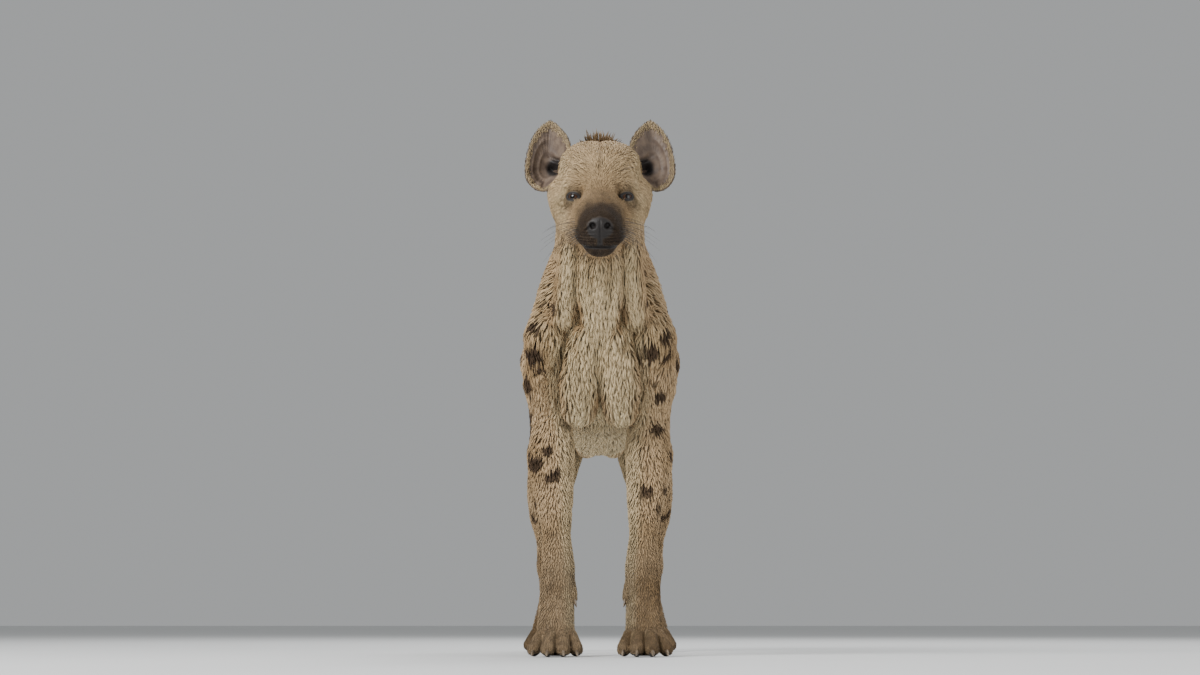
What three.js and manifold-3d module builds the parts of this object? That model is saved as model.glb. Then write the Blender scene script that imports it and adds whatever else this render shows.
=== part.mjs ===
// Spotted hyena, life size, standing square on four feet with the head raised and the ears up.
// Millimetres, +Z up. The animal faces -Y and its left side is +X. The origin is on the floor,
// under the middle of its box. Each side is the mirror of the other, so only the left is drawn.
import * as THREE from "three";
import { mergeVertices } from "three/addons/utils/BufferGeometryUtils.js";
import Module from "manifold-3d";

const wasm = await Module();
wasm.setup();

// Joints of the skeleton, which carry all the flesh: [out from the middle, along, up]
const SCAPULA_TOP = [50, -128, 768];
const SHOULDER = [97, -262, 575];
const ELBOW = [92, -158, 440];
const OLECRANON = [101, -112, 452];
const WRIST = [77, -196, 162];
const FRONT_KNUCKLES = [80, -238, 48];
const HIP = [74, 362, 605];
const ISCHIUM = [46, 432, 600];
const KNEE = [110, 262, 408];
const ANKLE = [107, 448, 182];
const HEEL_BONE = [106, 478, 212];
const HIND_KNUCKLES = [112, 428, 46];
const TAIL_ROOT = [0, 436, 646];

// The head has a frame of its own, at the poll between the ears, pitched nose down
const POLL = [0, -345, 848];
const HEAD_PITCH = THREE.MathUtils.degToRad(16);
const NOSE_TIP = 231;
const EYE_RADIUS = 15;
const EYE_SINK = 11.5;
const LID_WIDTH = 12.5;
const LID_HEIGHT = 6.2;

// Other driving sizes
const GAP = 0.3;
const EAR_WALL = 4;
const EAR_CUP = 34;
const MOUTH_SLIT = 2.6;
const MOUTH_DEPTH = 5;

const v = (x, y, z) => new THREE.Vector3(x, y, z);

// A point of the head from its distance out, forward of the poll and above it
const FORWARD = v(0, -Math.cos(HEAD_PITCH), -Math.sin(HEAD_PITCH));
const UPWARD = v(0, -Math.sin(HEAD_PITCH), Math.cos(HEAD_PITCH));
function onHead(out, forward, up) {
  return v(...POLL)
    .addScaledVector(FORWARD, forward)
    .addScaledVector(UPWARD, up)
    .add(v(out, 0, 0))
    .toArray();
}

// Flesh is a blend of tapering bars. A chain is a row of stations [place, half width, half depth],
// where the width runs across the animal and the depth square to it. Soft is how far it blends.
const FLESH = [];
const HOLLOWS = [];

function bar([from, wideFrom, deepFrom], [to, wideTo, deepTo]) {
  const a = v(...from);
  const along = v(...to).sub(a);
  const unit = along.clone().normalize();
  const across = v(1, 0, 0).addScaledVector(unit, -unit.x);
  if (across.length() < 0.3) across.copy(v(0, 1, 0).addScaledVector(unit, -unit.y));
  across.normalize();
  const square = unit.clone().cross(across);
  return { a, along, across, square, length2: along.lengthSq(), wideFrom, wideTo, deepFrom, deepTo };
}

function chain(stations, soft) {
  const bars = stations.slice(1).map((end, i) => bar(stations[i], end));
  const box = new THREE.Box3();
  for (const [place, wide, deep] of stations) {
    const most = Math.max(wide, deep);
    box.union(new THREE.Box3().setFromCenterAndSize(v(...place), v(2 * most, 2 * most, 2 * most)));
  }
  return { bars, soft, box };
}

const flesh = (soft, ...stations) => FLESH.push(chain(stations, soft));
const hollow = (soft, ...stations) => HOLLOWS.push(chain(stations, soft));

function barDistance(b, p) {
  const x = p.x - b.a.x;
  const y = p.y - b.a.y;
  const z = p.z - b.a.z;
  const t = Math.min(1, Math.max(0, (x * b.along.x + y * b.along.y + z * b.along.z) / b.length2));
  const ox = x - t * b.along.x;
  const oy = y - t * b.along.y;
  const oz = z - t * b.along.z;
  const wide = b.wideFrom + t * (b.wideTo - b.wideFrom);
  const deep = b.deepFrom + t * (b.deepTo - b.deepFrom);
  const off2 = ox * ox + oy * oy + oz * oz;
  const s = ox * b.across.x + oy * b.across.y + oz * b.across.z;
  const n = ox * b.square.x + oy * b.square.y + oz * b.square.z;
  const least = Math.min(wide, deep);
  const past = Math.max(0, off2 - s * s - n * n) / (least * least);
  const share = Math.sqrt((s * s) / (wide * wide) + (n * n) / (deep * deep) + past);
  return share < 1e-4 ? -least : Math.sqrt(off2) * (1 - 1 / share);
}

const chainDistance = (c, p) => Math.min(...c.bars.map((b) => barDistance(b, p)));

function softMin(a, b, soft) {
  const h = Math.max(soft - Math.abs(a - b), 0) / soft;
  return Math.min(a, b) - (h * h * soft) / 4;
}

// Distance to the skin, negative inside the animal
function skin(point) {
  const p = v(Math.abs(point.x), point.y, point.z);
  let d = 1e3;
  for (const c of FLESH) {
    if (c.box.distanceToPoint(p) < d + c.soft) d = softMin(d, chainDistance(c, p), c.soft);
  }
  for (const c of HOLLOWS) {
    if (c.box.distanceToPoint(p) < c.soft) d = -softMin(-d, chainDistance(c, p), c.soft);
  }
  return d;
}

// Trunk: deep chest, level belly, back falling from withers to croup
flesh(30,
  [[0, -262, 590], 62, 105],
  [[0, -190, 598], 88, 160],
  [[0, -110, 594], 108, 180],
  [[0, -30, 588], 120, 182],
  [[0, 70, 574], 126, 184],
  [[0, 170, 575], 119, 162],
  [[0, 260, 590], 103, 124],
  [[0, 345, 604], 86, 90],
  [[0, 405, 606], 58, 60]);
flesh(26,
  [[0, -150, 752], 34, 42],
  [[0, -20, 735], 40, 36],
  [[0, 180, 705], 44, 30],
  [[0, 330, 668], 46, 28],
  [[0, 404, 650], 38, 28]);

// Neck, throat and windpipe
flesh(30,
  [[0, -165, 640], 84, 130],
  [[0, -238, 719], 84, 115],
  [[0, -303, 787], 80, 95],
  [[0, -345, 828], 76, 80]);
flesh(14,
  [[0, -408, 728], 17, 17],
  [[0, -368, 668], 19, 18],
  [[0, -330, 606], 24, 20],
  [[0, -314, 572], 22, 16]);
flesh(16, [[52, -398, 762], 16, 26], [[56, -352, 690], 22, 30], [[64, -300, 610], 26, 30]);
flesh(16, [[26, -392, 730], 13, 20], [[28, -346, 650], 16, 22], [[16, -318, 590], 15, 18]);

// Shoulder blade, point of the shoulder, upper arm and the long triceps behind it
flesh(26, [SCAPULA_TOP, 30, 60], [[79, -196, 665], 36, 64], [SHOULDER, 38, 50]);
flesh(22, [SHOULDER, 37, 48], [[100, -196, 500], 42, 44], [ELBOW, 32, 40]);
flesh(18, [[84, -84, 652], 32, 44], [[112, -128, 548], 38, 60], [OLECRANON, 26, 28]);

// Breast muscles meet in a groove at the middle
flesh(15, [[30, -300, 566], 30, 30], [[36, -266, 492], 38, 34], [[38, -236, 444], 32, 29]);

// Forearm and pastern
flesh(16, [OLECRANON, 17, 19], [[96, -146, 392], 26, 26]);
flesh(18,
  [ELBOW, 34, 42],
  [[90, -168, 385], 42, 43],
  [[91, -173, 350], 43, 42],
  [[84, -182, 285], 34, 34],
  [[79.5, -190, 220], 25, 26],
  [WRIST, 31, 27],
  [[79, -208, 100], 32, 22],
  [FRONT_KNUCKLES, 34, 22]);

// Croup, thigh and hamstrings
flesh(26, [[52, 300, 650], 42, 44], [[66, 372, 618], 44, 58]);
flesh(24, [HIP, 42, 78], [[90, 322, 505], 42, 86], [[104, 312, 420], 36, 70], [[112, 330, 350], 30, 46]);
flesh(20, [[92, 268, 500], 34, 44], [KNEE, 37, 44]);
flesh(20,
  [ISCHIUM, 32, 36],
  [[72, 428, 520], 36, 46],
  [[98, 402, 425], 30, 38],
  [[110, 392, 335], 17, 20]);
flesh(20, [[52, 352, 520], 34, 60], [[66, 330, 410], 28, 44], [[84, 330, 345], 26, 36]);
flesh(12, [[24, 110, 412], 20, 22], [[28, 250, 426], 22, 26]);
flesh(22, [[76, 225, 560], 26, 34], [[98, 246, 450], 26, 30]);

// Gaskin, hamstring tendon, heel bone and hind pastern
flesh(18,
  [KNEE, 37, 42],
  [[116, 338, 326], 37, 46],
  [[114, 372, 285], 35, 38],
  [[109, 410, 240], 27, 29],
  [ANKLE, 27, 27]);
flesh(12, [[112, 392, 330], 15, 20], [[108, 460, 236], 10, 12], [HEEL_BONE, 14, 15]);
flesh(12, [HEEL_BONE, 14, 15], [[106, 466, 150], 14, 15]);
flesh(14, [ANKLE, 26, 26], [[107, 450, 115], 22, 21], [HIND_KNUCKLES, 33, 23]);

// Tail, carried low and a little away from the rump
const TAIL_LINE = [TAIL_ROOT, [0, 492, 628], [0, 540, 594], [0, 584, 552], [0, 620, 506]];
const TAIL_RADII = [30, 25, 21, 18, 14];
flesh(20, ...TAIL_LINE.map((place, i) => [place, TAIL_RADII[i], TAIL_RADII[i]]));

// Paws: how far each toe lies out from the paw's middle and ahead of it, and how far its tip spreads
const TOES = [
  { out: -27, lead: 0, spread: -9, name: "inner" },
  { out: -11.5, lead: 22, spread: -2, name: "middle_inner" },
  { out: 12, lead: 24, spread: 2, name: "middle_outer" },
  { out: 27, lead: 2, spread: 12, name: "outer" },
];
const TOE_TIPS = { fore: [], hind: [] };
function paw(side, [x, y], size) {
  for (const toe of TOES) {
    const out = x + toe.out * size;
    const front = y - toe.lead * size;
    const tip = [out + toe.spread * size, front - 35 * size, 14];
    flesh(5,
      [[out * 0.5 + x * 0.5, y + 14, 38], 13, 15],
      [[out, front - 10, 34], 12 * size, 16],
      [tip, 13 * size, 15]);
    TOE_TIPS[side].push({ ...toe, tip: v(...tip), size });
  }
  flesh(8, [[x - 14, y + 10, 17], 17, 17], [[x + 14, y + 10, 17], 17, 17]);
}
paw("fore", [79, -238], 1);
paw("hind", [113, 420], 0.94);

// The small first toe hangs inside the wrist, with a claw of its own
const DEWCLAW_ROOT = [60, -200, 140];
const DEWCLAW_TIP = [46, -211, 104];

// Skull: braincase and crest, forehead, muzzle, lower jaw, cheek, brow, lips and nose
flesh(24,
  [onHead(0, -52, 8), 72, 56],
  [onHead(0, -8, 22), 76, 52],
  [onHead(0, 44, 6), 66, 50],
  [onHead(0, 106, -38), 48, 43],
  [onHead(0, 161, -57), 43, 41],
  [onHead(0, 204, -64), 35, 34]);
flesh(18, [onHead(22, -34, 40), 44, 32], [onHead(28, 34, 30), 36, 24]);
flesh(18, [onHead(52, -10, -32), 40, 44], [onHead(54, 44, -42), 34, 36], [onHead(32, 108, -73), 24, 25]);
flesh(14, [onHead(66, -8, -18), 27, 24], [onHead(58, 60, -24), 20, 17]);
flesh(14, [onHead(30, 82, 3), 12, 9], [onHead(56, 68, -2), 12, 9]);
flesh(14, [onHead(0, 76, -92), 36, 26], [onHead(0, 144, -99), 30, 20], [onHead(0, 210, -98), 23, 15]);
flesh(9, [onHead(30, 144, -74), 16, 21], [onHead(18, 210, -81), 19, 17]);
flesh(6, [onHead(9, 192, -53), 17, 13], [onHead(11, 220, -59), 15, 13]);

// Bulb at the root of each ear
flesh(14, [onHead(58, -46, 22), 22, 26], [onHead(78, -58, 18), 17, 21]);

// Hollows: above the point of the shoulder, before the eye, behind the brisket and at the flank
hollow(14, [[52, -352, 576], 9, 15], [[50, -322, 548], 10, 18]);
hollow(12, [onHead(38, 108, -8), 9, 12], [onHead(40, 134, -16), 8, 10]);
hollow(24, [[150, 214, 560], 16, 44], [[140, 214, 500], 14, 34]);

// A closed surface through rings of points, each end closed by a point in its middle
function closedRings(rings) {
  const count = rings[0].length;
  const middle = (ring) => ring.reduce((sum, p) => sum.add(p), v(0, 0, 0)).divideScalar(count);
  const points = [...rings.flat(), middle(rings[0]), middle(rings.at(-1))];
  const faces = [];
  const first = points.length - 2;
  for (let j = 0; j < count; j++) {
    const k = (j + 1) % count;
    const base = (rings.length - 1) * count;
    faces.push(first, k, j, first + 1, base + j, base + k);
    for (let i = 0; i + 1 < rings.length; i++) {
      const a = i * count;
      const b = a + count;
      faces.push(a + j, a + k, b + k, a + j, b + k, b + j);
    }
  }
  return new THREE.BufferGeometry().setFromPoints(points).setIndex(faces);
}

function solidOf(geometry) {
  const bare = geometry.clone();
  bare.deleteAttribute("normal");
  bare.deleteAttribute("uv");
  const merged = mergeVertices(bare, 1e-4);
  const solid = new wasm.Manifold(new wasm.Mesh({
    numProp: 3,
    vertProperties: new Float32Array(merged.attributes.position.array),
    triVerts: new Uint32Array(merged.index.array),
  }));
  if (solid.volume() > 0) return solid;
  const turned = new Uint32Array(merged.index.array).reverse();
  return new wasm.Manifold(new wasm.Mesh({
    numProp: 3,
    vertProperties: new Float32Array(merged.attributes.position.array),
    triVerts: turned,
  }));
}

function geometryOf(solid) {
  const mesh = solid.getMesh();
  const points = [];
  for (let i = 0; i < mesh.numVert; i++) {
    points.push(v(...mesh.vertProperties.subarray(i * mesh.numProp, i * mesh.numProp + 3)));
  }
  return new THREE.BufferGeometry().setFromPoints(points).setIndex([...mesh.triVerts]);
}

const largest = (solid) => solid.decompose().sort((a, b) => b.volume() - a.volume())[0];

function rayLength(from, ray, reach) {
  const step = 4;
  let far = 0.5;
  while (far < reach && skin(from.clone().addScaledVector(ray, far)) < 0) far += step;
  let near = Math.max(0, far - step);
  for (let i = 0; i < 9; i++) {
    const half = (near + far) / 2;
    if (skin(from.clone().addScaledVector(ray, half)) > 0) far = half;
    else near = half;
  }
  return near;
}

// The corners, edges and faces of a unit cell, as indices into its eight corners
const CORNERS = Array.from({ length: 8 }, (_, i) => [i & 1, (i >> 1) & 1, (i >> 2) & 1]);
const EDGES = [];
for (let axis = 0; axis < 3; axis++) {
  for (let i = 0; i < 8; i++) {
    if (!CORNERS[i][axis]) EDGES.push([i, i | (1 << axis)]);
  }
}
const edgeBetween = (a, b) => EDGES.findIndex(([p, q]) => (p === a && q === b) || (p === b && q === a));
const CELL_FACES = [0, 1, 2].flatMap((axis) => [0, 1].map((side) => {
  const low = side << axis;
  const [b, c] = [1 << ((axis + 1) % 3), 1 << ((axis + 2) % 3)];
  return [low, low | b, low | b | c, low | c];
}));

// The crossed edges of a cell, grouped into the separate sheets of skin that pass through it
function sheetsOf(inside) {
  const group = EDGES.map(([a, b], i) => (inside[a] === inside[b] ? -1 : i));
  const join = (a, b) => {
    const [from, to] = [group[a], group[b]];
    group.forEach((g, i) => {
      if (g === from) group[i] = to;
    });
  };
  for (const face of CELL_FACES) {
    const edges = face.map((corner, i) => edgeBetween(corner, face[(i + 1) % 4]));
    const crossed = edges.filter((e) => group[e] >= 0);
    if (crossed.length === 2) join(crossed[0], crossed[1]);
    if (crossed.length === 4) {
      const shift = inside[face[0]] ? 0 : 1;
      join(edges[(3 + shift) % 4], edges[shift]);
      join(edges[(1 + shift) % 4], edges[(2 + shift) % 4]);
    }
  }
  return group;
}

// The skin inside a box as one closed solid, on a grid of cells of about the size given. Each sheet
// of skin in a cell gets one point, drawn on to the skin itself, and each crossed edge one quad.
function carve(low, high, cell, level = 0) {
  const count = low.map((l, i) => Math.max(2, Math.round((high[i] - l) / cell[i])));
  const size = low.map((l, i) => (high[i] - l) / count[i]);
  const [nx, ny, nz] = count.map((n) => n + 1);
  const place = (i, j, k) => v(low[0] + i * size[0], low[1] + j * size[1], low[2] + k * size[2]);
  const at = (i, j, k) => i + nx * (j + ny * k);
  const value = new Float64Array(nx * ny * nz);
  for (let k = 0; k < nz; k++) {
    for (let j = 0; j < ny; j++) {
      for (let i = 0; i < nx; i++) {
        const rim = i === 0 || j === 0 || k === 0 || i === nx - 1 || j === ny - 1 || k === nz - 1;
        const d = skin(place(i, j, k)) - level;
        value[at(i, j, k)] = rim ? Math.max(d, 0.4 * Math.min(...size)) : d;
      }
    }
  }
  const points = [];
  const sheets = new Map();
  for (let k = 0; k + 1 < nz; k++) {
    for (let j = 0; j + 1 < ny; j++) {
      for (let i = 0; i + 1 < nx; i++) {
        const values = CORNERS.map(([a, b, c]) => value[at(i + a, j + b, k + c)]);
        const inside = values.map((d) => d < 0);
        if (inside.every((x) => x === inside[0])) continue;
        const group = sheetsOf(inside);
        const index = new Map();
        for (const g of new Set(group.filter((x) => x >= 0))) {
          index.set(g, points.length);
          points.push(pointOfSheet(place(i, j, k), size, group, g, values, level));
        }
        sheets.set(at(i, j, k), group.map((g) => (g < 0 ? -1 : index.get(g))));
      }
    }
  }
  const faces = [];
  const step = [[1, 0, 0], [0, 1, 0], [0, 0, 1]];
  for (let axis = 0; axis < 3; axis++) {
    const [b, c] = [step[(axis + 1) % 3], step[(axis + 2) % 3]];
    const from = step[axis].map((s) => 1 - s);
    for (let k = from[2]; k + 1 < nz; k++) {
      for (let j = from[1]; j + 1 < ny; j++) {
        for (let i = from[0]; i + 1 < nx; i++) {
          const inHere = value[at(i, j, k)] < 0;
          if (inHere === value[at(i, j, k) + at(...step[axis])] < 0) continue;
          const quad = [[0, 0], [1, 0], [1, 1], [0, 1]].map(([p, q]) => {
            const cellAt = at(i, j, k) - p * at(...b) - q * at(...c);
            const corner = (p << ((axis + 1) % 3)) | (q << ((axis + 2) % 3));
            return sheets.get(cellAt)[edgeBetween(corner, corner | (1 << axis))];
          });
          addQuad(faces, points, inHere ? quad : quad.toReversed());
        }
      }
    }
  }
  return solidOf(new THREE.BufferGeometry().setFromPoints(points).setIndex(faces));
}

function addQuad(faces, points, [a, b, c, d]) {
  const near = points[a].distanceTo(points[c]) < points[b].distanceTo(points[d]);
  faces.push(...(near ? [a, b, c, a, c, d] : [a, b, d, b, c, d]));
}

function pointOfSheet(corner, size, group, wanted, values, level) {
  const sum = v(0, 0, 0);
  let count = 0;
  EDGES.forEach(([a, b], e) => {
    if (group[e] !== wanted) return;
    const t = values[a] / (values[a] - values[b]);
    sum.add(v(...CORNERS[a]).lerp(v(...CORNERS[b]), t));
    count++;
  });
  const point = sum.divideScalar(count).multiply(v(...size)).add(corner);
  for (let i = 0; i < 3; i++) {
    const d = skin(point) - level;
    const slope = v(
      skin(point.clone().add(v(0.5, 0, 0))) - level - d,
      skin(point.clone().add(v(0, 0.5, 0))) - level - d,
      skin(point.clone().add(v(0, 0, 0.5))) - level - d).multiplyScalar(2);
    point.addScaledVector(slope, -d / Math.max(0.3, slope.lengthSq()));
  }
  const inset = v(...size).multiplyScalar(0.03);
  const far = corner.clone().add(v(...size));
  return point.clamp(corner.clone().add(inset), far.sub(inset));
}

// Planes between the nodes: a place, and the way the first node of the pair lies
const plane = (place, facing) => ({ place: v(...place), facing: v(...facing).normalize() });
const NECK_CUT = plane([0, -248, 688], [0, 0.806, -0.591]);
const HEAD_CUT = plane([0, -321, 805], [0, 0.891, -0.457]);
const TAIL_CUT = plane([0, 470, 632], [0, -0.8, 0.6]);
const ELBOW_CUT = plane([0, 0, 424], [0, 0, 1]);
const WRIST_CUT = plane([0, 0, 142], [0, 0, 1]);
const KNEE_CUT = plane([0, 0, 386], [0, 0, 1]);
const HOCK_CUT = plane([0, 0, 150], [0, 0, 1]);
const FLOOR = plane([0, 0, 0], [0, 0, 1]);

// A limb leaves the torso inside a wedge of planes that all face away from it
const FORE_WEDGE = [
  plane([66, 0, 490], [-0.94, 0, 0.34]),
  plane([122, 0, 590], [-0.5, 0, 0.866]),
  plane([0, -60, 500], [0, 0.97, 0.24]),
];
const HIND_WEDGE = [
  plane([36, 0, 530], [-0.95, 0, 0.31]),
  plane([100, 0, 634], [-0.45, 0, 0.893]),
  plane([0, 206, 500], [0, -0.98, 0.2]),
];

// The half of space on one side of a cut, as a big box set back by half the gap
const BIG = 1500;
function halfSpace({ place, facing }, side, margin = GAP / 2) {
  const turn = new THREE.Quaternion().setFromUnitVectors(v(0, 0, 1), facing.clone().multiplyScalar(side));
  const centre = place.clone().addScaledVector(facing, side * (BIG / 2 + margin));
  const box = new THREE.BoxGeometry(BIG, BIG, BIG).applyQuaternion(turn);
  return solidOf(box.translate(...centre.toArray()));
}
const before = (solid, cut) => solid.intersect(halfSpace(cut, 1));
const beyond = (solid, cut) => solid.intersect(halfSpace(cut, -1));

function wedge(cuts, margin) {
  return cuts.map((cut) => halfSpace(cut, -1, margin)).reduce((all, half) => all.intersect(half));
}

// A lock of coat: flat, tapered and bent, its root sunk in the flesh, [share of length, share of width]
const LOCK_STATIONS = [[-0.22, 0.55], [0.15, 1], [0.55, 0.78], [1, 0.12]];
const LOCK_THICKNESS = 0.42;
function lock(root, lie, outward, length, width, bend, rise) {
  const side = lie.clone().cross(outward).normalize();
  const rings = LOCK_STATIONS.map(([t, share]) => {
    const lift = rise * Math.max(t, 0) - 0.32 * rise * t * t;
    const middle = root.clone()
      .addScaledVector(lie, length * t)
      .addScaledVector(outward, length * lift + (t < 0 ? length * t * 0.8 : 0))
      .addScaledVector(side, bend * length * t * t);
    const half = (width / 2) * share;
    const thick = half * LOCK_THICKNESS;
    return [[half, 0], [0, thick], [-half, 0], [0, -thick]].map(([s, n]) =>
      middle.clone().addScaledVector(side, s).addScaledVector(outward, n));
  });
  return solidOf(closedRings(rings));
}

// Seeded draws, so that the locks vary and yet come out the same each time
let seed = 7;
function draw(low, high) {
  seed = (seed * 1664525 + 1013904223) % 4294967296;
  return low + (high - low) * (seed / 4294967296);
}

// The place on the skin that a ray from inside the flesh comes out at
const SKIN_REACH = 400;
function skinUnder(from, towards) {
  return from.clone().addScaledVector(towards, rayLength(from, towards, SKIN_REACH));
}

// Crest: on the nape and withers the hair is long and points forward
const CREST_RUN = { from: v(0, -292, 792), to: v(0, 30, 640), rows: 11, width: 25 };
function crestLocks() {
  const locks = [];
  for (let i = 0; i < CREST_RUN.rows; i++) {
    const t = i / (CREST_RUN.rows - 1);
    const heart = CREST_RUN.from.clone().lerp(CREST_RUN.to, t);
    const long = 42 + 26 * Math.sin(Math.PI * Math.min(1, 0.1 + t * 0.9));
    for (const tilt of i % 2 ? [-0.26, 0, 0.26] : [-0.14, 0.14]) {
      const lean = Math.sin(tilt + draw(-0.03, 0.03));
      const up = v(lean, THREE.MathUtils.lerp(0.62, 0.08, t), 1).normalize();
      const root = skinUnder(heart, up);
      const forward = v(lean * 0.2, -1, THREE.MathUtils.lerp(0.9, -0.1, t)).normalize();
      const lie = forward.addScaledVector(up, -forward.dot(up)).normalize();
      const rise = THREE.MathUtils.lerp(0.7, 0.42, t);
      const solid = lock(root, lie, up, long * draw(0.9, 1.1), CREST_RUN.width, draw(-0.12, 0.12), rise);
      locks.push({ root, solid });
    }
  }
  return locks;
}

// Brush: long locks round the end of the tail that hang past its tip
const BRUSH = { from: 0.5, to: 0.98, rows: 3, round: 5, width: 27 };
function brushLocks() {
  const locks = [];
  const line = new THREE.CatmullRomCurve3(TAIL_LINE.map((p) => v(...p)));
  for (let i = 0; i < BRUSH.rows; i++) {
    const t = THREE.MathUtils.lerp(BRUSH.from, BRUSH.to, i / (BRUSH.rows - 1));
    const at = line.getPoint(t);
    const down = line.getTangent(t);
    const across = v(1, 0, 0);
    const back = down.clone().cross(across).normalize();
    const rise = i === BRUSH.rows - 1 ? -0.02 : 0.12;
    for (let j = 0; j < BRUSH.round; j++) {
      const turn = (2 * Math.PI * (j + 0.5 * (i % 2))) / BRUSH.round + draw(-0.1, 0.1);
      const out = across.clone().multiplyScalar(Math.cos(turn)).addScaledVector(back, Math.sin(turn));
      const root = skinUnder(at, out);
      locks.push(lock(root, down, out, draw(66, 80), BRUSH.width, draw(-0.1, 0.1), rise));
    }
  }
  return locks;
}

// Ears: a cup behind a rim that rises to a point, [out, along, up] round the rim from the tip
const EAR_RIM = [
  [91, -288, 975], [111, -292, 962], [126, -300, 936], [134, -308, 902],
  [134, -322, 866], [121, -336, 843], [100, -341, 835], [70, -340, 862],
  [55, -334, 898], [57, -322, 930], [74, -302, 960],
];
const EAR_HEART = v(96, -284, 892);
function ear() {
  const rim = new THREE.CatmullRomCurve3(EAR_RIM.map((p) => v(...p)), true);
  const around = 20;
  const ringAt = (share, wall) => Array.from({ length: around }, (_, j) => {
    const edge = rim.getPoint(j / around);
    const spread = share * (1 + wall / 48);
    const deep = (1 - share ** 1.8) * (EAR_HEART.y - edge.y + EAR_CUP / 6);
    return v(
      THREE.MathUtils.lerp(EAR_HEART.x, edge.x, spread),
      edge.y + deep + wall,
      THREE.MathUtils.lerp(EAR_HEART.z, edge.z, spread));
  });
  const shares = [0.15, 0.55, 0.85, 1];
  return solidOf(closedRings([
    ...shares.map((s) => ringAt(s, 0)),
    ...shares.toReversed().map((s) => ringAt(s, EAR_WALL)),
  ]));
}

// Claws: a tapering horn that curves down from the end of a toe, [how far forward, radius]
const CLAW_STATIONS = [[-8, 5.4], [3, 4.8], [17, 1]];
const CLAW_SIDES = 5;
const CLAW_CURVE = 0.024;
function claw(tip, size) {
  const rings = CLAW_STATIONS.map(([forward, thick]) => {
    const radius = thick * size;
    const drop = CLAW_CURVE * Math.max(0, forward) ** 2;
    const middle = tip.clone().add(v(0, -forward - 9 * size, 8 - drop));
    return Array.from({ length: CLAW_SIDES }, (_, j) => {
      const turn = (2 * Math.PI * j) / CLAW_SIDES;
      return middle.clone().add(v(radius * 0.75 * Math.sin(turn), 0, radius * Math.cos(turn)));
    });
  });
  return solidOf(closedRings(rings));
}

const dewclawToe = () => taperedTube([DEWCLAW_ROOT, [51, -206, 124], DEWCLAW_TIP], [10, 8.5, 5.5], 8);
const dewclawHorn = () => taperedTube([
  [47, -210, 112],
  [44.5, -213, 97],
  [44, -219, 86],
], [4, 3.2, 0.8], 6);

// Eyes look forward and a little out. Each sits just under the skin with a lid all round
const GAZE = v(0.4, -0.9, 0.1).normalize();
const EYE_OPENING = skinUnder(v(...onHead(48, 20, -17)), FORWARD);
const EYE_CENTRE = EYE_OPENING.clone().addScaledVector(GAZE, -EYE_SINK);

function eyeball(radius) {
  const ball = new THREE.SphereGeometry(radius, 10, 7);
  return solidOf(ball.translate(...EYE_CENTRE.toArray()));
}

function lids() {
  const across = v(0, 0, 1).cross(GAZE).normalize();
  const up = GAZE.clone().cross(across).normalize();
  const around = 14;
  const section = [[1, 0], [0.3, 1], [-0.8, 0.5], [-0.8, -0.9], [0.4, -1]];
  const ringAt = (j) => {
    const turn = (2 * Math.PI * j) / around;
    const out = across.clone().multiplyScalar(LID_WIDTH * Math.cos(turn))
      .addScaledVector(up, LID_HEIGHT * Math.sin(turn) + 0.8);
    const middle = EYE_CENTRE.clone().add(out)
      .addScaledVector(GAZE, Math.sqrt(Math.max(20, (EYE_RADIUS - 0.6) ** 2 - out.lengthSq())));
    const away = out.clone().normalize();
    return section.map(([a, b]) =>
      middle.clone().addScaledVector(away, 2.8 * a + 1.6).addScaledVector(GAZE, 2.2 * b));
  };
  const rings = Array.from({ length: around }, (_, j) => ringAt(j));
  const points = rings.flat();
  const faces = [];
  for (let i = 0; i < around; i++) {
    const here = i * section.length;
    const next = ((i + 1) % around) * section.length;
    for (let j = 0; j < section.length; j++) {
      const k = (j + 1) % section.length;
      faces.push(here + j, here + k, next + k, here + j, next + k, next + j);
    }
  }
  return solidOf(new THREE.BufferGeometry().setFromPoints(points).setIndex(faces));
}

// The line of the mouth: a thin slot along the lips, kept to the skin by the core inside it
function mouthSlot(core) {
  const lips = [[138, -76], [164, -86], [196, -93], [252, -96]].map(([f, u]) => new THREE.Vector2(f, u));
  const line = new THREE.SplineCurve(lips).getPoints(5);
  const shape = new THREE.Shape([
    ...line.map((p) => new THREE.Vector2(p.x, p.y + MOUTH_SLIT / 2)),
    ...line.toReversed().map((p) => new THREE.Vector2(p.x, p.y - MOUTH_SLIT / 2)),
  ]);
  const slab = new THREE.ExtrudeGeometry(shape, { depth: 150, bevelEnabled: false });
  slab.translate(0, 0, -75);
  slab.applyMatrix4(new THREE.Matrix4().makeBasis(FORWARD, UPWARD, v(1, 0, 0)));
  return solidOf(slab.translate(...POLL)).subtract(core);
}

function taperedTube(places, radii, sides = 7) {
  const line = new THREE.CatmullRomCurve3(places.map((p) => v(...p)));
  const rings = radii.map((radius, i) => {
    const t = i / (radii.length - 1);
    const ahead = line.getTangent(t);
    const across = v(1, 0, 0).addScaledVector(ahead, -ahead.x).normalize();
    const up = ahead.clone().cross(across);
    return Array.from({ length: sides }, (_, j) => line.getPoint(t)
      .addScaledVector(across, radius * Math.sin((2 * Math.PI * j) / sides))
      .addScaledVector(up, radius * Math.cos((2 * Math.PI * j) / sides)));
  });
  return solidOf(closedRings(rings));
}

// Nostrils: a round hole each side of the nose pad, with a slit that runs out from it
function nostrils() {
  return [1, -1].flatMap((side) => [
    taperedTube([
      onHead(12 * side, 252, -57),
      onHead(12 * side, 229, -58),
      onHead(10 * side, 215, -59),
    ], [6, 5.6, 3]),
    taperedTube([
      onHead(28 * side, 239, -67),
      onHead(21 * side, 229, -63),
      onHead(12 * side, 223, -59),
    ], [2.4, 2.6, 3]),
  ]);
}

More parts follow.
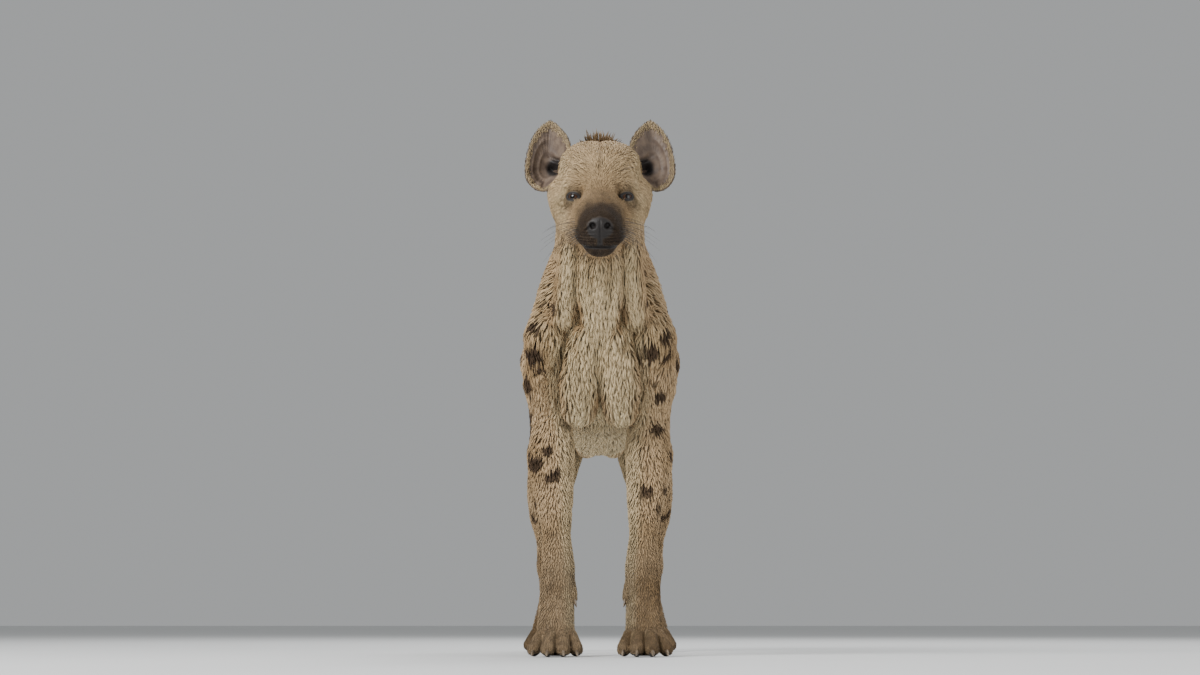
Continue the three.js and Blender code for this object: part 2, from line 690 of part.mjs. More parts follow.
// The groove down the middle of the nose pad and upper lip
function philtrum() {
  const groove = new THREE.BoxGeometry(1.8, 12, 34);
  groove.rotateX(HEAD_PITCH);
  return solidOf(groove.translate(...onHead(0, NOSE_TIP + 3, -77)));
}

// The nodes
const materials = {
  coat: new THREE.MeshStandardMaterial({ color: 0xb09a77, roughness: 0.9, metalness: 0 }),
  leg_coat: new THREE.MeshStandardMaterial({ color: 0x9a8467, roughness: 0.9, metalness: 0 }),
  dark_coat: new THREE.MeshStandardMaterial({ color: 0x4a3c30, roughness: 0.9, metalness: 0 }),
  ear_skin: new THREE.MeshStandardMaterial({ color: 0x6b5646, roughness: 0.85, metalness: 0 }),
  eye: new THREE.MeshStandardMaterial({ color: 0x2b1a10, roughness: 0.1, metalness: 0 }),
  horn: new THREE.MeshStandardMaterial({ color: 0x3a322b, roughness: 0.5, metalness: 0 }),
};

const animal = new THREE.Group();

function add(name, solid, material) {
  const mesh = new THREE.Mesh(geometryOf(largest(solid)), materials[material]);
  mesh.name = name;
  animal.add(mesh);
}

function addPair(name, solid, material) {
  const left = geometryOf(largest(solid));
  const right = left.clone().scale(-1, 1, 1);
  right.setIndex([...right.index.array].reverse());
  for (const [side, geometry] of [["left", left], ["right", right]]) {
    const mesh = new THREE.Mesh(geometry, materials[material]);
    mesh.name = name.replace("SIDE", side);
    animal.add(mesh);
  }
}

const CREST_LOCKS = crestLocks();

// The trunk, less the room that each limb leaves it by
function torso() {
  let solid = carve([-180, -340, 370], [180, 500, 830], [38, 43, 38]);
  solid = before(before(solid, NECK_CUT), TAIL_CUT);
  for (const cuts of [FORE_WEDGE, HIND_WEDGE]) {
    const room = wedge(cuts, -GAP / 2);
    solid = solid.subtract(room).subtract(mirror(room));
  }
  return withLocks(solid, CREST_LOCKS, NECK_CUT, 1);
}

// Joins the crest locks whose whole length lies on one side of a cut
function withLocks(solid, locks, cut, side) {
  const clear = halfSpace(cut, side, GAP);
  for (const { root, solid: piece } of locks) {
    if (root.clone().sub(cut.place).dot(cut.facing) * side > 4) solid = solid.add(piece.intersect(clear));
  }
  return solid;
}

const NECK_BOX = [[-130, -460, 540], [130, -140, 940], [29, 29, 29]];
const HEAD_BOX = [[-121, -590, 620], [121, -230, 960], [16, 17, 16]];

function neck() {
  const solid = withLocks(beyond(carve(...NECK_BOX), NECK_CUT), CREST_LOCKS, NECK_CUT, -1);
  return before(solid, HEAD_CUT);
}

// The head with its lids, eye sockets, mouth line and nostrils
function head() {
  const core = carve([-60, -600, 660], [60, -440, 780], [17, 24, 17], -MOUTH_DEPTH);
  let solid = beyond(carve(...HEAD_BOX), HEAD_CUT);
  for (const flip of [(piece) => piece, mirror]) {
    solid = solid.add(flip(lids())).subtract(flip(eyeball(EYE_RADIUS + GAP)));
  }
  solid = solid.subtract(mouthSlot(core)).subtract(philtrum());
  return nostrils().reduce((rest, hole) => rest.subtract(hole), solid);
}

function mirroredGeometry(geometry) {
  const other = geometry.clone().scale(-1, 1, 1);
  return other.setIndex([...other.index.array].reverse());
}

const mirror = (solid) => solidOf(mirroredGeometry(geometryOf(solid)));

function tail() {
  const solid = beyond(carve([-42, 420, 470], [42, 650, 700], [18, 25, 25]), TAIL_CUT);
  return brushLocks().reduce((all, piece) => all.add(piece), solid);
}

add("torso", torso(), "coat");
add("neck", neck(), "coat");
add("head", head(), "coat");
add("tail", tail(), "dark_coat");

const headSkin = carve(...HEAD_BOX, GAP);
const neckSkin = carve(...NECK_BOX, GAP);
addPair("ear_SIDE", ear().subtract(headSkin).subtract(neckSkin), "ear_skin");
addPair("eye_SIDE", eyeball(EYE_RADIUS), "eye");

const arm = carve([20, -360, 400], [170, -40, 680], [24, 26, 26]);
addPair("foreleg_SIDE_upper_arm", before(arm.intersect(wedge(FORE_WEDGE, GAP / 2)), ELBOW_CUT), "coat");
const forearm = carve([20, -250, 110], [150, -90, 450], [16, 18, 34]);
addPair("foreleg_SIDE_forearm",
  before(beyond(forearm.intersect(wedge(FORE_WEDGE, GAP / 2)), ELBOW_CUT), WRIST_CUT), "leg_coat");
const thigh = carve([10, 180, 360], [170, 520, 720], [29, 31, 31]);
addPair("hindleg_SIDE_thigh", before(thigh.intersect(wedge(HIND_WEDGE, GAP / 2)), KNEE_CUT), "coat");
const gaskin = carve([20, 220, 120], [160, 520, 410], [20, 24, 32]);
addPair("hindleg_SIDE_gaskin",
  before(beyond(gaskin.intersect(wedge(HIND_WEDGE, GAP / 2)), KNEE_CUT), HOCK_CUT), "leg_coat");

const PAWS = {
  fore: { low: [20, -320, -14], high: [146, -160, 166], cut: WRIST_CUT },
  hind: { low: [54, 330, -14], high: [174, 500, 174], cut: HOCK_CUT },
};
for (const [end, { low, high, cut }] of Object.entries(PAWS)) {
  let solid = beyond(carve(low, high, [10, 14.5, 15]), cut).intersect(halfSpace(FLOOR, 1, 0));
  if (end === "fore") solid = solid.add(beyond(dewclawToe(), cut));
  addPair(`${end}leg_SIDE_paw`, solid, "leg_coat");
  for (const { name, tip, size } of TOE_TIPS[end]) {
    addPair(`claw_${end}_SIDE_${name}`, claw(tip, size).subtract(largest(solid)), "horn");
  }
}
addPair("claw_fore_SIDE_dew", dewclawHorn().subtract(dewclawToe()), "horn");

// The origin goes under the middle of the whole
animal.position.y = -new THREE.Box3().setFromObject(animal).getCenter(v(0, 0, 0)).y;

export default animal;
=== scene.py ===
"""A spotted hyena, life size and standing square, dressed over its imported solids.

The flesh is one field of distances, made of tapering bars along the skeleton. The skin is a
surface of that field, set in from the solids by the depth of the coat. The coat grows on the
skin as thin solid tufts. Sizes of the animal are in millimetres, in its own frame, until a mesh
is made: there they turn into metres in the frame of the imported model.
"""

import logging
import math
from dataclasses import dataclass, field
from enum import Enum, IntEnum
from typing import Callable, Sequence, Union

import bpy
import numpy as np
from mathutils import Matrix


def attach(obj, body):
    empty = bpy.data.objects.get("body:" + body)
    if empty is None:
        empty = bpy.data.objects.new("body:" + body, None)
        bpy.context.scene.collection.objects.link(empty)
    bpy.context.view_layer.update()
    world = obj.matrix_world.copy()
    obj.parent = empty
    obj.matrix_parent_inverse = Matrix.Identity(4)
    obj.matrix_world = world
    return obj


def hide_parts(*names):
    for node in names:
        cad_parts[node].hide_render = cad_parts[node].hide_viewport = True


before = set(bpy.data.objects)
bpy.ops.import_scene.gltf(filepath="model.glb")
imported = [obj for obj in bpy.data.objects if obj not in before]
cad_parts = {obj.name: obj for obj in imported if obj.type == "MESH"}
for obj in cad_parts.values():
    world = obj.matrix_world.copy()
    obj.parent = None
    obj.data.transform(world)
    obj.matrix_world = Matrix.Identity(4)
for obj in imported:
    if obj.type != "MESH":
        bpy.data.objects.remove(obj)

LOG = logging.getLogger("hyena")

Point = tuple[float, float, float]
Station = tuple[Point, float, float]

# The solids' origin lies under the middle of their box, and the skeleton's lies elsewhere
ORIGIN_SHIFT = np.array((0.0, -60.2117, 0.0))
SIDES = {"left": 1, "right": -1}


class Part(IntEnum):
    """The parts of the body that own the bars of flesh."""

    TRUNK = 0
    NECK = 1
    HEAD = 2
    FORELEG = 3
    HINDLEG = 4
    FOREPAW = 5
    HINDPAW = 6
    TAIL = 7


# Joints of the skeleton: out from the middle, along and up
SCAPULA_TOP: Point = (50, -128, 768)
SHOULDER: Point = (97, -262, 575)
ELBOW: Point = (92, -158, 440)
OLECRANON: Point = (101, -112, 452)
WRIST: Point = (77, -196, 162)
FRONT_KNUCKLES: Point = (80, -238, 48)
HIP: Point = (74, 362, 605)
ISCHIUM: Point = (46, 432, 600)
KNEE: Point = (110, 262, 408)
ANKLE: Point = (107, 448, 182)
HEEL_BONE: Point = (106, 478, 212)
HIND_KNUCKLES: Point = (112, 428, 46)
TAIL_LINE: tuple[Point, ...] = ((0, 436, 646), (0, 492, 628), (0, 540, 594), (0, 584, 552), (0, 620, 506))
TAIL_RADII = (30, 25, 21, 18, 14)
DEWCLAW: tuple[Point, ...] = ((60, -200, 140), (51, -206, 124), (46, -211, 104))

# The head has a frame of its own, at the poll between the ears, pitched nose down
POLL = np.array((0.0, -345.0, 848.0))
HEAD_PITCH = math.radians(16)
FORWARD = np.array((0.0, -math.cos(HEAD_PITCH), -math.sin(HEAD_PITCH)))
UPWARD = np.array((0.0, -math.sin(HEAD_PITCH), math.cos(HEAD_PITCH)))
NOSE_TIP = 231.0


def on_head(out: float, forward: float, up: float) -> Point:
    """Places a point of the head.

    Args:
        out: Distance out from the middle.
        forward: Distance forward of the poll.
        up: Distance above the poll.

    Returns:
        The point in the animal's frame.
    """
    return tuple(POLL + FORWARD * forward + UPWARD * up + np.array((out, 0.0, 0.0)))


def in_head(points: np.ndarray) -> tuple[np.ndarray, np.ndarray, np.ndarray]:
    """Gives how far out, forward and up each point lies in the frame of the head."""
    away = points - POLL
    return away[:, 0], away @ FORWARD, away @ UPWARD


def ease(values: np.ndarray, low: float, high: float) -> np.ndarray:
    """Goes smoothly from 0 at low to 1 at high, also where high is the lower number."""
    share = np.clip((values - low) / (high - low), 0.0, 1.0)
    return share * share * (3 - 2 * share)


def unit(vectors: np.ndarray) -> np.ndarray:
    """Gives each vector a length of 1."""
    return vectors / np.maximum(np.linalg.norm(vectors, axis=-1, keepdims=True), 1e-9)


def dots(first: np.ndarray, last: np.ndarray) -> np.ndarray:
    """Gives the dot product of each pair of vectors."""
    return np.einsum("ij,ij->i", first, last)


def laid_on(ways: np.ndarray, normals: np.ndarray, share: float = 1.0) -> np.ndarray:
    """Turns ways along the surface of their normals, wholly or by a share."""
    return unit(ways - share * normals * dots(ways, normals)[:, None])


def bell(across: np.ndarray, along: Union[np.ndarray, float] = 0.0) -> np.ndarray:
    """Gives 1 in the middle, which fades out as either distance grows past a width of 1."""
    return np.exp(-(across**2 + along**2))


def leftward(points: np.ndarray) -> np.ndarray:
    """Mirrors the points of the right side to the left."""
    return np.column_stack((np.abs(points[:, 0]), points[:, 1:]))


class Bar:
    """A tapering bar of flesh between two stations."""

    def __init__(self, first: Station, last: Station) -> None:
        """Works out the bar's own directions.

        Args:
            first: Place, half width and half depth of its first end.
            last: The same of its last end.
        """
        self.start = np.array(first[0], float)
        self.along = np.array(last[0], float) - self.start
        self.length2 = float(self.along @ self.along)
        ahead = self.along / math.sqrt(self.length2)
        across = np.array((1.0, 0, 0)) - ahead * ahead[0]
        if np.linalg.norm(across) < 0.3:
            across = np.array((0, 1.0, 0)) - ahead * ahead[1]
        self.across = across / np.linalg.norm(across)
        self.square = np.cross(ahead, self.across)
        self.wide = (first[1], last[1])
        self.deep = (first[2], last[2])

    def distance(self, points: np.ndarray) -> np.ndarray:
        """Gives how far each point lies outside the bar, negative inside it.

        Args:
            points: Places in the animal's frame.

        Returns:
            The distance of each.
        """
        away = points - self.start
        share = np.clip(away @ self.along / self.length2, 0.0, 1.0)
        off = away - share[:, None] * self.along
        wide = self.wide[0] + share * (self.wide[1] - self.wide[0])
        deep = self.deep[0] + share * (self.deep[1] - self.deep[0])
        off2 = dots(off, off)
        sideways, squarely = off @ self.across, off @ self.square
        least = np.minimum(wide, deep)
        past = np.maximum(0.0, off2 - sideways**2 - squarely**2) / least**2
        ratio = np.sqrt((sideways / wide) ** 2 + (squarely / deep) ** 2 + past)
        return np.where(ratio < 1e-4, -least, np.sqrt(off2) * (1 - 1 / np.maximum(ratio, 1e-4)))


@dataclass
class Chain:
    """A row of bars that blends into the flesh before it.

    Attributes:
        part: The part of the body that it belongs to.
        soft: How far it blends, in millimetres.
        stations: Place, half width and half depth of each station.
        hollow: Whether it is taken out of the flesh.
    """

    part: Part
    soft: float
    stations: tuple[Station, ...]
    hollow: bool = False
    bars: list[Bar] = field(init=False, repr=False)

    def __post_init__(self) -> None:
        """Makes the bars and the box that holds them."""
        self.bars = [Bar(a, b) for a, b in zip(self.stations, self.stations[1:])]
        places = np.array([place for place, _, _ in self.stations], float)
        most = np.array([[max(wide, deep)] for _, wide, deep in self.stations], float)
        self.low, self.high = (places - most).min(0), (places + most).max(0)

    def distance(self, points: np.ndarray) -> np.ndarray:
        """Gives the distance to the nearest bar of the chain."""
        return np.min([bar.distance(points) for bar in self.bars], axis=0)

    def room(self, points: np.ndarray) -> np.ndarray:
        """Gives how far each point lies outside the chain's box."""
        out = np.maximum(np.maximum(self.low - points, points - self.high), 0.0)
        return np.sqrt(dots(out, out))


BODY_CHAINS: tuple[Chain, ...] = (
    # Trunk: deep chest, level belly, back falling from withers to croup
    Chain(Part.TRUNK, 30, (
        ((0, -262, 590), 62, 105), ((0, -190, 598), 88, 160), ((0, -110, 594), 108, 180),
        ((0, -30, 588), 120, 182), ((0, 70, 574), 126, 184), ((0, 170, 575), 119, 162),
        ((0, 260, 590), 103, 124), ((0, 345, 604), 86, 90), ((0, 405, 606), 58, 60),
    )),
    Chain(Part.TRUNK, 26, (
        ((0, -150, 752), 34, 42), ((0, -20, 735), 40, 36), ((0, 180, 705), 44, 30),
        ((0, 330, 668), 46, 28), ((0, 404, 650), 38, 28),
    )),
    # Neck, throat and windpipe
    Chain(Part.NECK, 30, (
        ((0, -165, 640), 84, 130), ((0, -238, 719), 84, 115), ((0, -303, 787), 80, 95),
        ((0, -345, 828), 76, 80),
    )),
    Chain(Part.NECK, 14, (
        ((0, -408, 728), 17, 17), ((0, -368, 668), 19, 18), ((0, -330, 606), 24, 20),
        ((0, -314, 572), 22, 16),
    )),
    Chain(Part.NECK, 16, (((52, -398, 762), 16, 26), ((56, -352, 690), 22, 30), ((64, -300, 610), 26, 30))),
    Chain(Part.NECK, 16, (((26, -392, 730), 13, 20), ((28, -346, 650), 16, 22), ((16, -318, 590), 15, 18))),
    # Shoulder blade, point of the shoulder, upper arm and the long triceps behind it
    Chain(Part.FORELEG, 26, ((SCAPULA_TOP, 30, 60), ((79, -196, 665), 36, 64), (SHOULDER, 38, 50))),
    Chain(Part.FORELEG, 22, ((SHOULDER, 37, 48), ((100, -196, 500), 42, 44), (ELBOW, 32, 40))),
    Chain(Part.FORELEG, 18, (((84, -84, 652), 32, 44), ((112, -128, 548), 38, 60), (OLECRANON, 26, 28))),
    # Breast muscles meet in a groove at the middle
    Chain(Part.TRUNK, 15, (
        ((30, -300, 566), 30, 30), ((36, -266, 492), 38, 34), ((38, -236, 444), 32, 29),
    )),
    # Forearm and pastern
    Chain(Part.FORELEG, 16, ((OLECRANON, 17, 19), ((96, -146, 392), 26, 26))),
    Chain(Part.FORELEG, 18, (
        (ELBOW, 34, 42), ((90, -168, 385), 42, 43), ((91, -173, 350), 43, 42), ((84, -182, 285), 34, 34),
        ((79.5, -190, 220), 25, 26), (WRIST, 31, 27), ((79, -208, 100), 32, 22), (FRONT_KNUCKLES, 34, 22),
    )),
    # Croup, thigh and hamstrings
    Chain(Part.HINDLEG, 26, (((52, 300, 650), 42, 44), ((66, 372, 618), 44, 58))),
    Chain(Part.HINDLEG, 24, (
        (HIP, 42, 78), ((90, 322, 505), 42, 86), ((104, 312, 420), 36, 70), ((112, 330, 350), 30, 46),
    )),
    Chain(Part.HINDLEG, 20, (((92, 268, 500), 34, 44), (KNEE, 37, 44))),
    Chain(Part.HINDLEG, 20, (
        (ISCHIUM, 32, 36), ((72, 428, 520), 36, 46), ((98, 402, 425), 30, 38), ((110, 392, 335), 17, 20),
    )),
    Chain(Part.HINDLEG, 20, (((52, 352, 520), 34, 60), ((66, 330, 410), 28, 44), ((84, 330, 345), 26, 36))),
    Chain(Part.HINDLEG, 12, (((24, 110, 412), 20, 22), ((28, 250, 426), 22, 26))),
    Chain(Part.HINDLEG, 22, (((76, 225, 560), 26, 34), ((98, 246, 450), 26, 30))),
    # Gaskin, hamstring tendon, heel bone and hind pastern
    Chain(Part.HINDLEG, 18, (
        (KNEE, 37, 42), ((116, 338, 326), 37, 46), ((114, 372, 285), 35, 38), ((109, 410, 240), 27, 29),
        (ANKLE, 27, 27),
    )),
    Chain(Part.HINDLEG, 12, (((112, 392, 330), 15, 20), ((108, 460, 236), 10, 12), (HEEL_BONE, 14, 15))),
    Chain(Part.HINDLEG, 12, ((HEEL_BONE, 14, 15), ((106, 466, 150), 14, 15))),
    Chain(Part.HINDLEG, 14, ((ANKLE, 26, 26), ((107, 450, 115), 22, 21), (HIND_KNUCKLES, 33, 23))),
    # Skull: braincase and crest, forehead, muzzle, lower jaw, cheek, brow, lips and nose
    Chain(Part.HEAD, 24, (
        (on_head(0, -52, 8), 72, 56), (on_head(0, -8, 22), 76, 52), (on_head(0, 44, 6), 66, 50),
        (on_head(0, 106, -38), 48, 43), (on_head(0, 161, -57), 43, 41), (on_head(0, 204, -64), 35, 34),
    )),
    Chain(Part.HEAD, 18, ((on_head(22, -34, 40), 44, 32), (on_head(28, 34, 30), 36, 24))),
    Chain(Part.HEAD, 18, (
        (on_head(52, -10, -32), 40, 44), (on_head(54, 44, -42), 34, 36), (on_head(32, 108, -73), 24, 25),
    )),
    Chain(Part.HEAD, 14, ((on_head(66, -8, -18), 27, 24), (on_head(58, 60, -24), 20, 17))),
    Chain(Part.HEAD, 14, ((on_head(30, 82, 3), 12, 9), (on_head(56, 68, -2), 12, 9))),
    Chain(Part.HEAD, 14, (
        (on_head(0, 76, -92), 36, 26), (on_head(0, 144, -99), 30, 20), (on_head(0, 210, -98), 23, 15),
    )),
    Chain(Part.HEAD, 9, ((on_head(30, 144, -74), 16, 21), (on_head(18, 210, -81), 19, 17))),
    Chain(Part.HEAD, 6, ((on_head(9, 192, -53), 17, 13), (on_head(11, 220, -59), 15, 13))),
    # Bulb at the root of each ear
    Chain(Part.HEAD, 14, ((on_head(58, -46, 22), 22, 26), (on_head(78, -58, 18), 17, 21))),
    # Hollows: above the point of the shoulder, before the eye and at the flank
    Chain(Part.TRUNK, 14, (((52, -352, 576), 9, 15), ((50, -322, 548), 10, 18)), hollow=True),
    Chain(Part.HEAD, 12, ((on_head(38, 108, -8), 9, 12), (on_head(40, 134, -16), 8, 10)), hollow=True),
    Chain(Part.TRUNK, 24, (((150, 214, 560), 16, 44), ((140, 214, 500), 14, 34)), hollow=True),
)


class Toe(Enum):
    """The toes of a paw: how far out and ahead of its middle, and how far the tip spreads."""

    INNER = (-27, 0, -9)
    MIDDLE_INNER = (-11.5, 22, -2)
    MIDDLE_OUTER = (12, 24, 2)
    OUTER = (27, 2, 12)


@dataclass(frozen=True)
class Paw:
    """A paw and its four toes.

    Attributes:
        end: Which end of the animal it is on, as the solids' names say it.
        part: The part of the body.
        middle: Its middle, out and along.
        size: Its size against a fore paw.
    """

    end: str
    part: Part
    middle: tuple[float, float]
    size: float

    def tip(self, toe: Toe) -> Point:
        """Gives the middle of a toe's tip."""
        (out, lead, spread), (x, y) = toe.value, self.middle
        return (x + (out + spread) * self.size, y - (lead + 35) * self.size, 14)

    def chains(self) -> list[Chain]:
        """Gives the bars of the toes and of the pad behind them.

        Returns:
            A chain for each toe, and one for the pad.
        """
        x, y = self.middle
        made = []
        for toe in Toe:
            out, front = x + toe.value[0] * self.size, y - toe.value[1] * self.size
            made.append(Chain(self.part, 5, (
                ((out * 0.5 + x * 0.5, y + 14, 38), 13, 15),
                ((out, front - 10, 34), 12 * self.size, 16),
                (self.tip(toe), 13 * self.size, 15),
            )))
        made.append(Chain(self.part, 8, (((x - 14, y + 10, 17), 17, 17), ((x + 14, y + 10, 17), 17, 17))))
        return made


PAWS = (Paw("fore", Part.FOREPAW, (79, -238), 1.0), Paw("hind", Part.HINDPAW, (113, 420), 0.94))


class Flesh:
    """The whole body as a field of distances to its surface."""

    def __init__(self) -> None:
        """Puts the chains in the order in which they blend."""
        body = [c for c in BODY_CHAINS if c.part is not Part.HEAD]
        tail = Chain(Part.TAIL, 20, tuple((p, r, r) for p, r in zip(TAIL_LINE, TAIL_RADII)))
        paws = [chain for paw in PAWS for chain in paw.chains()]
        dewclaw = Chain(Part.FOREPAW, 6, tuple(zip(DEWCLAW, (10, 8.5, 6), (10, 8.5, 6))))
        head = [c for c in BODY_CHAINS if c.part is Part.HEAD]
        self.chains = [*body, tail, *paws, dewclaw, *head]

    def distance(self, points: np.ndarray) -> np.ndarray:
        """Gives how far each point lies outside the body, negative inside it."""
        return self.survey(points, False)[0]

    def survey(self, points: np.ndarray, parts: bool = True) -> tuple[np.ndarray, np.ndarray]:
        """Measures the body at the points.

        Args:
            points: Places in the animal's frame.
            parts: Whether to tell the parts of the body apart.

        Returns:
            The distance to the surface at each point, and its distance to each part.
        """
        mirrored = leftward(points)
        total = np.full(len(points), 1e3)
        apart = np.full((len(points), len(Part) if parts else 0), 1e3)
        for chain in sorted(self.chains, key=lambda c: c.hollow):
            room = chain.room(mirrored)
            near = np.flatnonzero(room < chain.soft if chain.hollow else room < total + chain.soft)
            if not len(near):
                continue
            here, old = chain.distance(mirrored[near]), total[near]
            if parts and not chain.hollow:
                apart[near, chain.part] = np.minimum(apart[near, chain.part], here)
            if chain.hollow:
                old = -old
            blend = np.maximum(chain.soft - np.abs(old - here), 0.0) / chain.soft
            joined = np.minimum(old, here) - blend * blend * chain.soft / 4
            total[near] = -joined if chain.hollow else joined
        return total, apart

    def slope(self, points: np.ndarray, step: float = 0.6) -> np.ndarray:
        """Gives the direction in which the distance grows, by central differences."""
        moves = np.eye(3) * step
        return np.stack([
            (self.distance(points + move) - self.distance(points - move)) / (2 * step) for move in moves
        ], axis=1)

    def settle(self, points: np.ndarray, depth: np.ndarray, rounds: int = 2) -> np.ndarray:
        """Moves points on to the surface that lies a depth inside the body's.

        Args:
            points: Places near the surface.
            depth: The depth wanted at each.
            rounds: How many steps are taken.

        Returns:
            The moved points.
        """
        for _ in range(rounds):
            slope = self.slope(points)
            off = self.distance(points) + depth
            steep = np.maximum(0.35, dots(slope, slope))
            step = np.clip(off / steep, -6.0, 6.0)
            points = points - slope * step[:, None]
        return points

    def outward(self, start: Point, ray: np.ndarray, reach: float = 200.0) -> np.ndarray:
        """Gives where a ray from inside the body first comes out of it."""
        places = np.array(start, float) + np.arange(0.0, reach, 0.25)[:, None] * ray
        return places[int(np.argmax(self.distance(places) > 0))]


@dataclass
class Shell:
    """A surface of triangles, with facts about each of its points.

    Attributes:
        points: Places in the animal's frame, in millimetres.
        faces: Three points for each triangle.
        facts: A number or a vector for each point, under a name.
    """

    points: np.ndarray
    faces: np.ndarray
    facts: dict[str, np.ndarray] = field(default_factory=dict)

    def normals(self) -> np.ndarray:
        """Gives the outward direction at each point.

        Returns:
            A vector of length 1 for each point.
        """
        a, b, c = (self.points[self.faces[:, i]] for i in range(3))
        flat = np.cross(b - a, c - a)
        total = np.zeros_like(self.points)
        for i in range(3):
            for axis in range(3):
                total[:, axis] += np.bincount(self.faces[:, i], flat[:, axis], len(self.points))
        return unit(total)

    def middles(self) -> np.ndarray:
        """Gives the middle of each triangle."""
        return self.points[self.faces].mean(axis=1)

    def edges(self) -> tuple[np.ndarray, np.ndarray]:
        """Gives each edge once, and the three edges of each triangle.

        Returns:
            Each edge's two points, and each triangle's three edges.
        """
        pairs = np.sort(self.faces[:, [0, 1, 1, 2, 2, 0]].reshape(-1, 2), axis=1)
        keys, which = np.unique(pairs[:, 0] * len(self.points) + pairs[:, 1], return_inverse=True)
        return np.column_stack(np.divmod(keys, len(self.points))), which.reshape(-1, 3)

    def refined(self, wanted: Callable[[np.ndarray], np.ndarray]) -> "Shell":
        """Splits every edge that is longer than wanted at its middle.

        Args:
            wanted: Gives the longest edge allowed at each place.

        Returns:
            The finer shell, with the facts carried over.
        """
        edges, of_face = self.edges()
        ends = self.points[edges]
        long = np.linalg.norm(ends[:, 1] - ends[:, 0], axis=1) > wanted(ends.mean(axis=1))
        number = np.full(len(edges), -1)
        number[long] = len(self.points) + np.arange(long.sum())
        points = np.concatenate((self.points, ends[long].mean(axis=1)))
        facts = {
            name: np.concatenate((values, values[edges[long]].mean(axis=1)))
            for name, values in self.facts.items()
        }
        kept, middles = [], number[of_face]
        pattern = (middles >= 0) @ np.array((1, 2, 4))
        for code in range(8):
            rows = np.flatnonzero(pattern == code)
            turn = {2: 1, 4: 2, 6: 1, 5: 2}.get(code, 0)
            a, b, c = (self.faces[rows, (i + turn) % 3] for i in range(3))
            d, e, f = (middles[rows, (i + turn) % 3] for i in range(3))
            split = {
                0: [(a, b, c)],
                1: [(a, d, c), (d, b, c)],
                2: [(a, d, e), (d, b, e), (a, e, c)],
                3: [(d, b, e), (e, f, d), (f, a, d), (e, c, f)],
            }[bin(code).count("1")]
            kept += [np.column_stack(corners) for corners in split]
        return Shell(points, np.concatenate(kept), facts)

    def smoothed(self, amount: float = 0.5) -> np.ndarray:
        """Gives the points, each drawn towards the middle of its neighbours.

        Args:
            amount: How far towards it, from 0 to 1.

        Returns:
            The moved points.
        """
        edges, _ = self.edges()
        near, many = np.zeros_like(self.points), np.zeros(len(self.points))
        for one, other in ((0, 1), (1, 0)):
            many += np.bincount(edges[:, one], minlength=len(self.points))
            for axis in range(3):
                near[:, axis] += np.bincount(
                    edges[:, one], self.points[edges[:, other], axis], len(self.points))
        return self.points + amount * (near / np.maximum(many, 1)[:, None] - self.points)

    def part(self, chosen: np.ndarray) -> "Shell":
        """Gives the shell of the chosen triangles alone.

        Args:
            chosen: Whether each triangle is kept.

        Returns:
            The shell, with its facts.
        """
        faces = self.faces[chosen]
        used, renumbered = np.unique(faces, return_inverse=True)
        facts = {name: values[used] for name, values in self.facts.items()}
        return Shell(self.points[used], renumbered.reshape(-1, 3), facts)

    def object(self, name: str) -> bpy.types.Object:
        """Makes a Blender object in metres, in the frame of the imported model.

        Args:
            name: The name of the object.

        Returns:
            The object, linked to the scene, with the facts as attributes of its points.
        """
        mesh = bpy.data.meshes.new(name)
        mesh.vertices.add(len(self.points))
        mesh.vertices.foreach_set("co", metres(self.points).astype(np.float32).ravel())
        mesh.loops.add(3 * len(self.faces))
        mesh.loops.foreach_set("vertex_index", self.faces.astype(np.int32).ravel())
        mesh.polygons.add(len(self.faces))
        mesh.polygons.foreach_set("loop_start", np.arange(0, 3 * len(self.faces), 3, dtype=np.int32))
        mesh.update(calc_edges=True)
        mesh.polygons.foreach_set("use_smooth", np.ones(len(self.faces), bool))
        for fact, values in self.facts.items():
            write_fact(mesh, fact, values)
        return linked(name, mesh)


def linked(name: str, data: bpy.types.ID) -> bpy.types.Object:
    """Makes an object and links it to the scene.

    Args:
        name: The name of the object.
        data: Its mesh, light or camera.

    Returns:
        The object.
    """
    made = bpy.data.objects.new(name, data)
    bpy.context.scene.collection.objects.link(made)
    return made


def metres(points: np.ndarray) -> np.ndarray:
    """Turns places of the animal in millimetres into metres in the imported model's frame."""
    return (points + ORIGIN_SHIFT) / 1000


def write_fact(mesh: bpy.types.Mesh, name: str, values: np.ndarray) -> None:
    """Writes a number or a vector for each point of a mesh as a named attribute.

    Args:
        mesh: The mesh.
        name: The name.
        values: A row for each point.
    """
    vector = values.ndim == 2
    held = mesh.attributes.new(name, "FLOAT_VECTOR" if vector else "FLOAT", "POINT")
    held.data.foreach_set("vector" if vector else "value", values.astype(np.float32).ravel())


def read_fact(mesh: bpy.types.Mesh, name: str) -> np.ndarray:
    """Reads a named vector of each point of a mesh.

    Args:
        mesh: The mesh.
        name: The name.

    Returns:
        A row for each point.
    """
    values = np.empty(3 * len(mesh.vertices), np.float32)
    mesh.attributes[name].data.foreach_get("vector", values)
    return values.reshape(-1, 3)


